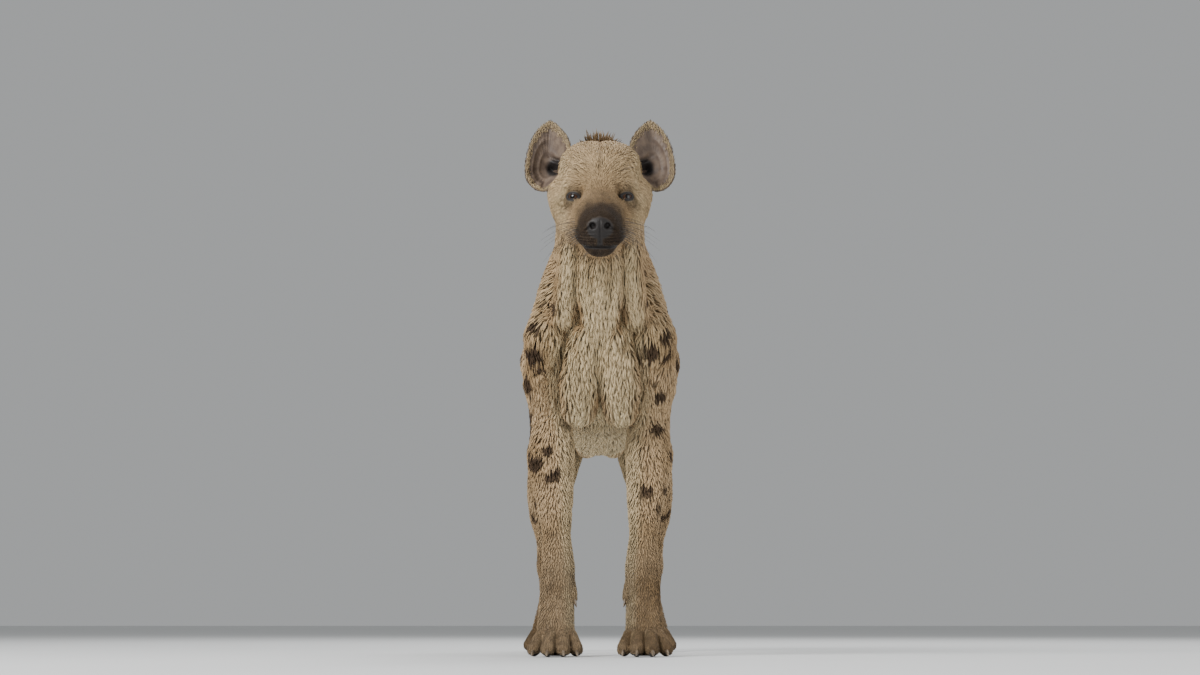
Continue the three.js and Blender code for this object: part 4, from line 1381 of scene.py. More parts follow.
def finish_surface(
    graph: Graph, base: Input, roughness: Input, normal: Union[Value, None], fixed: dict[str, float]
) -> None:
    """Ends a shader's graph in its surface.

    Args:
        graph: The graph.
        base: The colour.
        roughness: How rough it is.
        normal: The bumped normal, or None.
        fixed: Numbers that are the same all over, by the socket's name.
    """
    values: dict[Union[str, int], Input] = {"Base Color": base, "Roughness": roughness, **fixed}
    if normal is not None:
        values["Normal"] = normal
    shader = graph.add("ShaderNodeBsdfPrincipled", {}, values)
    graph.add("ShaderNodeOutputMaterial", {}, {"Surface": shader.out("BSDF")})


@dataclass(frozen=True)
class EyeFinish:
    """A dark brown eye, with a black pupil, under a clear wet surface.

    Attributes:
        place: The middle of the ball, in metres.
        gaze: The way it looks.
        iris: How wide the iris is across half, in metres.
        dark: The darker rays of the iris.
        warm: Its lighter rays.
        edge: Its rim.
        pupil: The pupil.
        white: The ball beyond the iris.
    """

    place: tuple[float, float, float]
    gaze: tuple[float, float, float]
    iris: float = 0.0098
    dark: str = "20110a"
    warm: str = "563720"
    edge: str = "0c0706"
    pupil: str = "020202"
    white: str = "4b3a30"

    def material(self, name: str) -> bpy.types.Material:
        """Makes the material.

        Args:
            name: Its name.

        Returns:
            The material.
        """
        made, graph = new_material(name)
        place = graph.add("ShaderNodeTexCoord", {}, {}).out("Object")
        away = graph.vector("SUBTRACT", place, self.place)
        ahead = graph.vector("DOT_PRODUCT", away, self.gaze)
        aside = graph.vector("SUBTRACT", away, graph.vector("SCALE", self.gaze, ahead))
        ring = graph.vector("LENGTH", aside) / self.iris
        rays = graph.noise(graph.vector("SCALE", graph.vector("NORMALIZE", aside), 5.0), 4.0, 3.0)
        iris = graph.mixed(rays.ease(0.3, 0.7), colour(self.dark), colour(self.warm))
        iris = graph.mixed(ring.ease(0.72, 1.0), iris, colour(self.edge))
        eye = graph.mixed(ring.ease(0.50, 0.44), iris, colour(self.pupil))
        eye = graph.mixed(ring.ease(1.0, 1.1), eye, colour(self.white))
        finish_surface(graph, eye, 0.08, None, {
            "Specular IOR Level": 0.1, "Coat Weight": 0.8, "Coat Roughness": 0.02})
        return made


class Grain(Enum):
    """How a plain finish varies."""

    PEBBLED = "pebbled"
    STREAKED = "streaked"
    CLOUDY = "cloudy"


@dataclass(frozen=True)
class PlainFinish:
    """Bare skin, horn or hair of about one colour.

    Attributes:
        low: Its darker colour.
        high: Its lighter colour.
        roughness: How rough it is.
        grain: How it varies.
        scale: How fine the grain is, to the metre.
        bump: How deep the grain is, in metres.
        coat: How wet it looks.
    """

    low: str
    high: str
    roughness: float
    grain: Grain
    scale: float = 300.0
    bump: float = 0.0003
    coat: float = 0.0

    def material(self, name: str) -> bpy.types.Material:
        """Makes the material.

        Args:
            name: Its name.

        Returns:
            The material.
        """
        made, graph = new_material(name)
        place = graph.add("ShaderNodeTexCoord", {}, {}).out("Object")
        if self.grain is Grain.PEBBLED:
            cells = graph.add("ShaderNodeTexVoronoi", {}, {"Vector": place, "Scale": self.scale})
            height = cells.out("Distance")
        elif self.grain is Grain.STREAKED:
            height = graph.noise(graph.vector("MULTIPLY", place, (1.0, 0.12, 0.3)), self.scale, 3.0)
        else:
            height = graph.noise(place, self.scale, 3.0)
        bump = graph.add("ShaderNodeBump", {}, {"Strength": 0.4, "Distance": self.bump, "Height": height})
        shade = graph.mixed(height.ease(0.25, 0.7), colour(self.low), colour(self.high))
        finish_surface(graph, shade, height.ease(0.2, 0.8, self.roughness - 0.06, self.roughness + 0.08),
                       bump.out("Normal"), {"Coat Weight": self.coat})
        return made


@dataclass(frozen=True)
class Blade:
    """The shape that every tuft of one sort is made from.

    Attributes:
        stations: For each ring, its place along the tuft, its share of the width and its lift.
        ridge: How thick the tuft is in its middle, as a share of its width.
    """

    stations: tuple[tuple[float, float, float], ...]
    ridge: float = 0.34

    def object(self, name: str) -> bpy.types.Object:
        """Makes the tuft as a small closed mesh, with its own coordinates as facts.

        Args:
            name: The object's name.

        Returns:
            The object, whose points hold across, along and lift, and how thick it is there.
        """
        places, thick, faces = [], [], []
        for along, share, lift in self.stations:
            places += [(-0.5 * share, along, lift), (0, along, lift), (0.5 * share, along, lift)]
            thick += [0.0, self.ridge * share, 0.0]
        tip = len(places)
        places.append((0.0, 1.0, self.stations[-1][2] + 0.02))
        thick.append(0.0)
        last = tip - 3
        for i in range(0, last, 3):
            for j in range(3):
                k = (j + 1) % 3
                faces += [(i + j, i + k, i + 3 + k), (i + j, i + 3 + k, i + 3 + j)]
        faces += [(last, last + 1, tip), (last + 1, last + 2, tip), (last + 2, last, tip), (0, 2, 1)]
        values = np.array(places, float)
        shell = Shell(values, np.array(faces), {"blade": values, "thick": np.array(thick)})
        return shell.object(name)


SHORT_BLADE = Blade(((-0.12, 0.7, -0.5), (0.38, 1.0, 0.72), (0.74, 0.62, 1.0)))
LONG_BLADE = Blade(((-0.06, 0.6, -0.08), (0.22, 1.0, 0.30), (0.5, 0.85, 0.62), (0.78, 0.5, 0.88)))


@dataclass
class GeometryTree:
    """A tree of geometry nodes, whose inputs are set by their identifiers.

    Attributes:
        name: Its name.
        inputs: The name and the kind of each input.
    """

    name: str
    inputs: tuple[tuple[str, str], ...]
    tree: bpy.types.NodeTree = field(init=False)
    keys: dict[str, str] = field(init=False)

    def __post_init__(self) -> None:
        """Makes the empty tree and keeps the identifier of each input."""
        self.tree = bpy.data.node_groups.new(self.name, "GeometryNodeTree")
        face = self.tree.interface
        face.new_socket("Geometry", in_out="OUTPUT", socket_type="NodeSocketGeometry")
        self.keys = {
            name: face.new_socket(name, in_out="INPUT", socket_type="NodeSocket" + kind).identifier
            for name, kind in (("Geometry", "Geometry"), *self.inputs)
        }

    def applied(self, source: bpy.types.Object, name: str, values: dict[str, object]) -> bpy.types.Object:
        """Runs the tree on an object and keeps the result as a plain mesh.

        Args:
            source: The object, which is removed.
            name: The name of the new one.
            values: A value for each input.

        Returns:
            The new object.
        """
        modifier = source.modifiers.new(self.name, "NODES")
        modifier.node_group = self.tree
        for key, value in values.items():
            modifier[self.keys[key]] = value
        graph = bpy.context.evaluated_depsgraph_get()
        mesh = bpy.data.meshes.new_from_object(
            source.evaluated_get(graph), preserve_all_data_layers=True, depsgraph=graph)
        mesh.name = name
        made = linked(name, mesh)
        bpy.data.objects.remove(source)
        return made


@dataclass
class CoatGrower:
    """Grows tufts on a bed of skin by geometry nodes.

    Attributes:
        blade: The shape of a tuft.
        skin: The whole skin, which the tufts hug.
        name: The name of the tree.
        floor_gap: How far every tuft stays above the floor, in metres.
    """

    blade: bpy.types.Object
    skin: bpy.types.Object
    name: str
    floor_gap: float = 0.0012
    tree: GeometryTree = field(init=False)

    INPUTS = (
        ("Spacing", "Float"), ("Seed", "Int"), ("Hug", "Float"), ("Disorder", "Float"), ("Curl", "Float"),
        ("Skin", "Object"), ("Tuft", "Object"), ("Finish", "Material"),
    )

    def __post_init__(self) -> None:
        """Builds the tree."""
        self.tree = GeometryTree(self.name, self.INPUTS)
        self.lay_nodes(Graph(self.tree.tree))

    def lay_nodes(self, g: Graph) -> None:
        """Adds the nodes: roots, one tuft at each, and its bend over the skin.

        Args:
            g: The tree's graph.
        """
        given = g.add("NodeGroupInput", {}, {})
        spacing, seed = given.out("Spacing"), given.out("Seed")

        def fact(name: str, kind: str = "FLOAT") -> Value:
            """Reads a fact of the points."""
            node = g.add("GeometryNodeInputNamedAttribute", {"data_type": kind}, {"Name": name})
            return node.out("Attribute")

        def lot(low: Number, high: Number, salt: int) -> Value:
            """Draws a number for each point."""
            node = g.add("FunctionNodeRandomValue", {"data_type": "FLOAT"}, {
                "Min": low, "Max": high, "Seed": seed + float(salt)})
            return node.out("Value")

        def noted(geometry: Value, name: str, value: Value, kind: str = "FLOAT") -> Value:
            """Stores a fact on the points."""
            node = g.add("GeometryNodeStoreNamedAttribute", {"data_type": kind, "domain": "POINT"}, {
                "Geometry": geometry, "Name": name, "Value": value})
            return node.out("Geometry")

        roots = g.add("GeometryNodeDistributePointsOnFaces", {"distribute_method": "POISSON"}, {
            "Mesh": given.out("Geometry"), "Distance Min": spacing,
            "Density Max": spacing ** -2.0 * 2.2,
            "Density Factor": fact("cover"), "Seed": seed})
        points = roots.out("Points")
        place = g.add("GeometryNodeInputPosition", {}, {}).out("Position")
        drift = (g.noise(place, 26.0, 1.0) - 0.5) * 2.2 + lot(-0.55, 0.55, 1)
        up = fact("facing", "FLOAT_VECTOR")
        turned = g.add("ShaderNodeVectorRotate", {"rotation_type": "AXIS_ANGLE"}, {
            "Vector": fact("lie", "FLOAT_VECTOR"), "Axis": up, "Angle": drift * given.out("Disorder")})
        lie = g.vector("NORMALIZE", turned.out("Vector"))
        points = noted(points, "lie", lie, "FLOAT_VECTOR")
        points = noted(points, "root", place, "FLOAT_VECTOR")
        points = noted(points, "long", fact("long") * lot(0.75, 1.2, 2))
        points = noted(points, "wide", fact("wide") * lot(0.8, 1.25, 3))
        points = noted(points, "rise", fact("rise") * lot(0.72, 1.18, 4))
        points = noted(points, "curl", given.out("Curl") * lot(-1.0, 1.0, 5))
        points = noted(points, "lot", lot(0.0, 1.0, 6))
        tuft = g.add("GeometryNodeObjectInfo", {"transform_space": "ORIGINAL"}, {
            "Object": given.out("Tuft")})
        grown = g.add("GeometryNodeInstanceOnPoints", {}, {
            "Points": points, "Instance": tuft.out("Geometry")}).out("Instances")
        grown = g.add("GeometryNodeRealizeInstances", {}, {"Geometry": grown}).out("Geometry")

        across, along, lift = g.split(fact("blade", "FLOAT_VECTOR"))
        lie, up, root = (fact(name, "FLOAT_VECTOR") for name in ("lie", "facing", "root"))
        side = g.vector("CROSS_PRODUCT", lie, up)
        ahead = g.vector("SCALE", lie, along * fact("long"))
        sideways = across * fact("wide") + fact("curl") * along * along * fact("long")
        flat = g.vector("ADD", g.vector("ADD", root, ahead), g.vector("SCALE", side, sideways))
        skin = g.add("GeometryNodeObjectInfo", {"transform_space": "ORIGINAL"}, {"Object": given.out("Skin")})
        near = g.add("GeometryNodeProximity", {"target_element": "FACES"}, {
            0: skin.out("Geometry"), "Sample Position": flat}).out("Position")
        facing = g.add("GeometryNodeSampleNearestSurface", {"data_type": "FLOAT_VECTOR"}, {
            "Mesh": skin.out("Geometry"), "Value": fact("facing", "FLOAT_VECTOR"),
            "Sample Position": flat}).out("Value")
        hug = given.out("Hug")

        def leaning(loose: Value, close: Value) -> Value:
            """Goes from the loose vector to the close one as the tuft hugs the skin."""
            return g.vector("ADD", loose, g.vector("SCALE", g.vector("SUBTRACT", close, loose), hug))

        height = lift * fact("rise") + fact("thick") * fact("wide")
        raised = g.vector("SCALE", g.vector("NORMALIZE", leaning(up, facing)), height)
        moved = g.vector("ADD", leaning(flat, near), raised)
        low = g.split(moved)
        moved = g.joined(low[0], low[1], low[2].most(self.floor_gap))
        grown = g.add("GeometryNodeSetPosition", {}, {"Geometry": grown, "Position": moved}).out("Geometry")
        grown = noted(grown, "blade", g.joined(across, along, fact("lot")), "FLOAT_VECTOR")
        for name in ("lie", "facing", "long", "wide", "rise", "curl", "lot", "thick", "cover", "bare"):
            cleared = g.add("GeometryNodeRemoveAttribute", {}, {"Geometry": grown, "Name": name})
            grown = cleared.out("Geometry")
        grown = g.add("GeometryNodeSetShadeSmooth", {}, {"Geometry": grown}).out("Geometry")
        grown = g.add("GeometryNodeSetMaterial", {}, {
            "Geometry": grown, "Material": given.out("Finish")}).out("Geometry")
        g.add("NodeGroupOutput", {}, {0: grown})

    def grow(self, bed: Shell, name: str, finish: bpy.types.Material, **numbers: float) -> bpy.types.Object:
        """Grows one piece of coat.

        Args:
            bed: The skin that it grows on, with its facts.
            name: The name of the piece.
            finish: Its material.
            numbers: Spacing in metres, Seed, Hug, Disorder and Curl.

        Returns:
            The piece as a plain mesh.
        """
        values = {**numbers, "Skin": self.skin, "Tuft": self.blade, "Finish": finish}
        made = self.tree.applied(bed.object(name + "_bed"), name, values)
        LOG.info("%s: %d triangles", name, len(made.data.polygons))
        return made


@dataclass(frozen=True)
class Unwrap:
    """Lays the skin of one piece out flat, as a turn round an axis and a way along it.

    Attributes:
        origin: A point on the axis, in millimetres of the animal.
        axis: The way that it runs.
        seam: The way out to where the turn begins.
    """

    origin: Point
    axis: Point
    seam: Point

    def on_side(self, sign: int) -> "Unwrap":
        """Gives the unwrap for the left side, 1, or mirrored for the right side, -1."""
        turned = ((x * sign, y, z) for x, y, z in (self.origin, self.axis, self.seam))
        return Unwrap(*turned)

    def lay(self, mesh: bpy.types.Mesh, patch: float = 0.003) -> None:
        """Writes the map OFBake, where each tuft is a small patch at its root's place.

        Args:
            mesh: A mesh of tufts, with root and blade as facts.
            patch: How wide a tuft's patch is.
        """
        root, blade = read_fact(mesh, "root"), read_fact(mesh, "blade")
        ahead = unit(np.array(self.axis, float))
        start = np.array(self.seam, float)
        start = unit(start - ahead * (start @ ahead))
        aside = np.cross(ahead, start)
        away = root - metres(np.array(self.origin, float))
        turn = np.arctan2(away @ aside, away @ start)
        spots = np.column_stack((turn, away @ ahead))
        low, high = spots.min(0), spots.max(0)
        flat = 0.01 + 0.98 * (spots - low) / np.maximum(high - low, 1e-6)
        flat += (blade[:, :2] - (0.0, 0.5)) * patch
        corner = np.empty(len(mesh.loops), np.int32)
        mesh.loops.foreach_get("vertex_index", corner)
        layer = mesh.uv_layers.new(name="OFBake")
        layer.uv.foreach_set("vector", np.clip(flat, 0, 1)[corner].astype(np.float32).ravel())
        mesh.uv_layers.active = layer


@dataclass(frozen=True)
class Region:
    """A region of the coat, grown as one piece on each side.

    Attributes:
        spacing: How far apart its tufts stand, in metres.
        unwrap: How its skin is laid out flat, on the left side.
        slot: Its material slot.
        disorder: How far tufts stray from the lie, in radians.
    """

    spacing: float
    unwrap: Unwrap
    slot: Slot = Slot.COAT
    disorder: float = 0.30


def down_leg(out: float, along: float) -> Unwrap:
    """Gives the unwrap round an upright leg."""
    return Unwrap((out, along, 0), (0, 0, 1), (-1, 0, 0))


ROUND_TRUNK = Unwrap((0, 0, 590), (0, 1, 0), (0, 0, -1))
REGIONS = {
    "face": Region(0.0016, Unwrap(on_head(0, 0, -40), tuple(FORWARD), (0, 0, -1)), disorder=0.20),
    "crown": Region(0.0023, Unwrap(on_head(0, 0, -20), tuple(FORWARD), (0, 0, -1))),
    "neck": Region(0.0034, Unwrap((0, -250, 700), (0, -0.65, 0.76), (0, -1, -0.8))),
    "shoulder": Region(0.0038, ROUND_TRUNK),
    "ribs": Region(0.0039, ROUND_TRUNK),
    "rump": Region(0.0038, ROUND_TRUNK),
    "foreleg": Region(0.0031, down_leg(86, -180), Slot.LEG_COAT),
    "hindleg": Region(0.0037, down_leg(100, 360), Slot.LEG_COAT),
    "forepaw": Region(0.0020, down_leg(79, -245), Slot.LEG_COAT, 0.20),
    "hindpaw": Region(0.0020, down_leg(113, 412), Slot.LEG_COAT, 0.20),
}


def spline(places: Sequence[Point], shares: np.ndarray, closed: bool = False) -> np.ndarray:
    """Runs a smooth centripetal curve through places.

    Args:
        places: The places it passes through.
        shares: How far along it each point is wanted, from 0 to 1.
        closed: Whether it closes on itself.

    Returns:
        The points.
    """
    knots = np.array(places, float)
    count = len(knots)
    if closed:
        ring = np.concatenate((knots[-1:], knots, knots[:2]))
    else:
        ring = np.concatenate((2 * knots[:1] - knots[1:2], knots, 2 * knots[-1:] - knots[-2:-1]))
    spans = count if closed else count - 1
    reach = np.clip(np.asarray(shares, float), 0, 1) * spans
    if closed:
        reach = reach % spans
    which = np.minimum(reach.astype(int), spans - 1)
    t = (reach - which)[:, None]
    p0, p1, p2, p3 = (ring[which + i] for i in range(4))
    pairs = ((p0, p1), (p1, p2), (p2, p3))
    steps = [np.linalg.norm(b - a, axis=1, keepdims=True) ** 0.5 + 1e-9 for a, b in pairs]
    m1 = ((p1 - p0) / steps[0] - (p2 - p0) / (steps[0] + steps[1]) + (p2 - p1) / steps[1]) * steps[1]
    m2 = ((p2 - p1) / steps[1] - (p3 - p1) / (steps[1] + steps[2]) + (p3 - p2) / steps[2]) * steps[1]
    return ((2 * t**3 - 3 * t**2 + 1) * p1 + (t**3 - 2 * t**2 + t) * m1
            + (-2 * t**3 + 3 * t**2) * p2 + (t**3 - t**2) * m2)


def lofted(rings: np.ndarray, closed: bool = False) -> Shell:
    """Joins rings of points into a closed surface that faces outwards.

    Args:
        rings: Rings by points by 3.
        closed: Whether the last ring joins the first, in place of a cap at each end.

    Returns:
        The surface.
    """
    many, around = rings.shape[:2]
    points = rings.reshape(-1, 3)
    i, j = np.meshgrid(np.arange(many if closed else many - 1), np.arange(around), indexing="ij")
    a, b = i * around + j, i * around + (j + 1) % around
    c, d = ((i + 1) % many) * around + (j + 1) % around, ((i + 1) % many) * around + j
    faces = np.concatenate((np.stack((a, b, c), -1).reshape(-1, 3), np.stack((a, c, d), -1).reshape(-1, 3)))
    if not closed:
        points = np.concatenate((points, rings[:1].mean(axis=1), rings[-1:].mean(axis=1)))
        j = np.arange(around)
        k, base = (j + 1) % around, (many - 1) * around
        faces = np.concatenate((
            faces, np.stack((np.full(around, len(points) - 2), k, j), -1),
            np.stack((np.full(around, len(points) - 1), base + j, base + k), -1)))
    a, b, c = (points[faces[:, n]] for n in range(3))
    if dots(a, np.cross(b, c)).sum() < 0:
        faces = faces[:, ::-1]
    return Shell(points, faces)


def mirrored(shell: Shell, side: int) -> Shell:
    """Gives the shell for the left side, 1, or turned over for the right side, -1.

    Args:
        shell: The left one.
        side: Which side is wanted.

    Returns:
        The shell of that side.
    """
    if side > 0:
        return shell
    turn = np.array((-1.0, 1, 1))
    facts = {name: values * turn if values.ndim == 2 and name in ("lie", "facing", "root") else values
             for name, values in shell.facts.items()}
    return Shell(shell.points * turn, shell.faces[:, ::-1], facts)


@dataclass
class Ear:
    """A cupped ear with a rolled rim, a way in painted dark as shade, and folds at its foot.

    Attributes:
        rim: Places round the edge, from the tip down the outer side.
        heart: The middle that the cup deepens towards.
        wall: How thick the ear is.
        around: Points round it.
    """

    rim: tuple[Point, ...] = (
        (91, -288, 975), (111, -292, 962), (126, -300, 936), (134, -308, 902), (134, -322, 866),
        (121, -336, 843), (100, -341, 835), (70, -340, 862), (55, -334, 898), (57, -322, 930),
        (74, -302, 960))
    heart: Point = (96, -284, 892)
    wall: float = 3.4
    around: int = 120

    def sheet(self, shares: np.ndarray) -> tuple[np.ndarray, np.ndarray, np.ndarray]:
        """Gives the inner face of the cup.

        Args:
            shares: How far out from the heart each ring lies, from 0 to 1.

        Returns:
            Rings by points, with each point's share and its turn round the ear.
        """
        turn = np.arange(self.around) / self.around
        edge = spline(self.rim, turn, closed=True)
        heart = np.array(self.heart, float)
        share, way = np.meshgrid(shares, turn, indexing="ij")
        deep = (1 - share**1.8) * (heart[1] - edge[None, :, 1] + 5.5)
        rings = heart + (edge[None] - heart) * share[..., None]
        rings[..., 1] = edge[None, :, 1] + deep
        return rings, share, way

    def relief(self, share: np.ndarray, turn: np.ndarray, places: np.ndarray) -> np.ndarray:
        """Gives how far the inner face stands forward, for its ridges and hollows.

        Args:
            share: How far out from the heart each point lies.
            turn: How far round the ear.
            places: Where it lies.

        Returns:
            How far each stands forward.
        """
        x, z = places[..., 0], places[..., 2]
        lower = ease(z, 905, 850)
        outer = ease(x, 92, 112)
        ridge = 3.2 * bell((share - 0.66 - 0.05 * np.sin(6 * turn)) / 0.05) * outer
        second = 2.2 * bell((share - 0.42) / 0.05) * ease(z, 935, 900) * ease(x, 60, 80)
        hollow = -13.0 * bell((x - 84) / 11, (z - 886 - 0.6 * (x - 84)) / 6.5)
        upper = -7.0 * bell((x - 80) / 13, (z - 906 - 0.55 * (x - 80)) / 3.2)
        lip = 4.0 * bell((x - 78) / 11, (z - 897 - 0.6 * (x - 80)) / 3.0)
        folds = 2.6 * np.sin(turn * 2 * math.pi * 11) * ease(share, 0.45, 0.8) * lower * (x > 76)
        streaks = 0.5 * np.sin(turn * 2 * math.pi * 26 + 3 * share) * ease(share, 0.25, 0.7)
        return ridge + second + hollow + upper + lip + folds + streaks

    def shell(self) -> Shell:
        """Makes the left ear as one closed surface.

        Returns:
            The ear, with the facts that its hair and colours need.
        """
        shares = np.concatenate((np.linspace(0.06, 0.88, 22), np.linspace(0.91, 1.0, 5)))
        inner, share, turn = self.sheet(shares)
        inner[..., 1] -= self.relief(share, turn, inner) * ease(share, 1.0, 0.93)
        outer, _, _ = self.sheet(shares)
        heart = np.array(self.heart, float)
        thick = self.wall * (0.45 + 0.55 * ease(share, 1.0, 0.8))
        spread = outer - heart
        spread[..., 1] = 0
        outer = outer + unit(spread) * (thick * 0.45)[..., None]
        crumple = 1.8 * np.sin(turn * 2 * math.pi * 11) * ease(outer[..., 2], 905, 850)
        outer[..., 1] += thick + 9.0 * ease(share, 0.55, 0.1) + crumple * ease(share, 0.5, 0.85) * 0.4
        lip = (inner[-1:] + outer[-1:]) / 2 + unit(spread[-1:]) * 1.2
        lip[..., 1] -= 1.0
        rings = np.concatenate((inner, lip, outer[::-1]))
        made = lofted(rings)
        many, heights = len(made.points), made.points[:, 2]
        inside = np.zeros(many)
        inside[: inner.shape[0] * self.around] = 1
        inside[-2] = 1
        normals = made.normals()
        lie = laid_on(np.array((0.15, 0.25, 1.0)) * np.ones((many, 1)), normals)
        far = np.concatenate((share.ravel(), share[-1].ravel() * 0 + 1.0, share[::-1].ravel(), (0.0, 0.0)))
        low_front = ease(heights, 872, 850) * ease(made.points[:, 1], -322, -334)
        way_in = ease(np.hypot((made.points[:, 0] - 84) / 20, (heights - 890) / 24), 1.15, 0.3)
        made.facts = {
            "lie": lie, "facing": normals, "root": metres(made.points),
            "long": np.where(inside > 0, 6.0, 7.0) / 1000, "wide": np.full(many, 1.5) / 1000,
            "rise": np.full(many, 1.5) / 1000, "spotty": np.zeros(many),
            # Painted shade: inside the ear the hair darkens towards the way in. The back is darker towards
            # its rim in its own colour.
            "dark": np.where(inside > 0, 0.15 + 0.8 * way_in, 0.42 + 0.3 * ease(far, 0.7, 1.0)),
            "pale": np.where(inside > 0, 0.5 * (1 - way_in), 0.0),
            "bare": inside * (1 - ease(far, 0.80, 0.98)) * 0.9,
            "cover": np.where(inside > 0, np.maximum(ease(far, 0.78, 0.96), low_front), 1.0),
            "inside": inside, "way_in": way_in * inside,
        }
        return made


@dataclass(frozen=True)
class EarFinish:
    """Thin ear skin: greyish brown inside, with painted shade in the way in.

    Attributes:
        skin: The inner skin.
        deep: The painted shade of the way in.
        back: The back of the ear under its hair.
        pale: What the inner skin drifts to.
        shaded: What the back drifts to.
    """

    skin: str = "5f5045"
    deep: str = "17100d"
    back: str = "57473a"
    pale: str = "786758"
    shaded: str = "3d3129"

    def material(self, name: str) -> bpy.types.Material:
        """Makes the material.

        Args:
            name: Its name.

        Returns:
            The material.
        """
        made, graph = new_material(name)
        inside, way_in = (CoatFinish.fact(graph, fact, "Fac") for fact in ("inside", "way_in"))
        place = graph.add("ShaderNodeTexCoord", {}, {}).out("Object")
        clouds = graph.noise(place, 60.0, 3.0)
        veins = graph.noise(graph.vector("MULTIPLY", place, (1.0, 1.0, 0.3)), 420.0, 2.0)
        skin = graph.mixed(clouds.ease(0.35, 0.65), colour(self.skin), colour(self.pale))
        # Painted shade: the inner skin goes near black in the way in.
        skin = graph.mixed(way_in.ease(0.05, 0.75), skin, colour(self.deep))
        shade = graph.mixed(inside, graph.mixed(clouds, colour(self.back), colour(self.shaded)), skin)
        bump = graph.add("ShaderNodeBump", {}, {"Strength": 0.45, "Distance": 0.0006, "Height": veins})
        finish_surface(graph, shade, clouds.ease(0.3, 0.7, 0.55, 0.72), bump.out("Normal"), {})
        return made


@dataclass
class Eye:
    """An eyeball and the dark rims of its lids.

    Attributes:
        place: Where it sits and how it opens.
    """

    place: EyePlace

    def ball(self) -> Shell:
        """Makes the left eyeball, with the clear front a little domed.

        Returns:
            The ball.
        """
        rows, around = 26, 40
        polar = np.linspace(0.02, math.pi - 0.02, rows)[:, None]
        turn = np.linspace(0, 2 * math.pi, around, endpoint=False)[None, :]
        dome = 1.0 + 0.055 * bell(polar / 0.42)
        out = np.sin(polar) * dome
        ahead = np.cos(polar) * dome * np.ones_like(turn)
        rings = (self.place.across * (out * np.cos(turn))[..., None]
                 + self.place.up * (out * np.sin(turn))[..., None]
                 + self.place.gaze * ahead[..., None])
        return lofted(self.place.centre + rings * self.place.radius)

    def rims(self) -> Shell:
        """Makes the wet edge of both lids as one closed ring.

        Returns:
            The ring.
        """
        around = 64
        turn = np.linspace(0, 2 * math.pi, around, endpoint=False)
        across = self.place.half_width * np.cos(turn)
        up = self.place.half_height * np.sin(turn) + self.place.tilt * across
        spine = self.place.on_ball(across, up, self.place.radius + 0.6)
        out = unit(spine - self.place.centre)
        aside = unit(np.cross(np.roll(spine, -1, 0) - np.roll(spine, 1, 0), out))
        bend = np.linspace(0, 2 * math.pi, 10, endpoint=False)
        rings = (spine[:, None] + out[:, None] * (0.75 * np.cos(bend))[None, :, None]
                 + aside[:, None] * (0.95 * np.sin(bend))[None, :, None])
        return lofted(rings, closed=True)


@dataclass(frozen=True)
class Claw:
    """A blunt horny claw that curves down from the end of a toe.

    Attributes:
        root: The middle of its root.
        ahead: The way it points.
        length: How long it is.
        thick: How thick its root is across half.
        curve: How far its tip drops.
    """

    root: Point
    ahead: Point
    length: float
    thick: float
    curve: float

    def shell(self) -> Shell:
        """Makes the claw, keeled above and flatter below.

        Returns:
            The closed surface.
        """
        rows, around = 12, 14
        share = np.linspace(0, 1, rows)
        ahead = unit(np.array(self.ahead, float))
        across = unit(np.cross(ahead, (0.0, 0.0, 1.0)))
        up = np.cross(across, ahead)
        spine = (np.array(self.root, float) + ahead * (self.length * share)[:, None]
                 - up * (self.curve * share**2)[:, None])
        fat = self.thick * np.sqrt(np.clip(1.0 - share**2.4, 0.012, 1))
        turn = np.linspace(0, 2 * math.pi, around, endpoint=False)
        wide = 0.72 * np.sin(turn) * np.where(np.cos(turn) > 0, 0.86, 1.0)
        tall = np.where(np.cos(turn) > 0, 1.12 * np.cos(turn), 0.78 * np.cos(turn))
        rings = spine[:, None] + fat[:, None, None] * (
            across * wide[None, :, None] + up * tall[None, :, None])
        rings[..., 2] = np.maximum(rings[..., 2], 0.6)
        return lofted(rings)


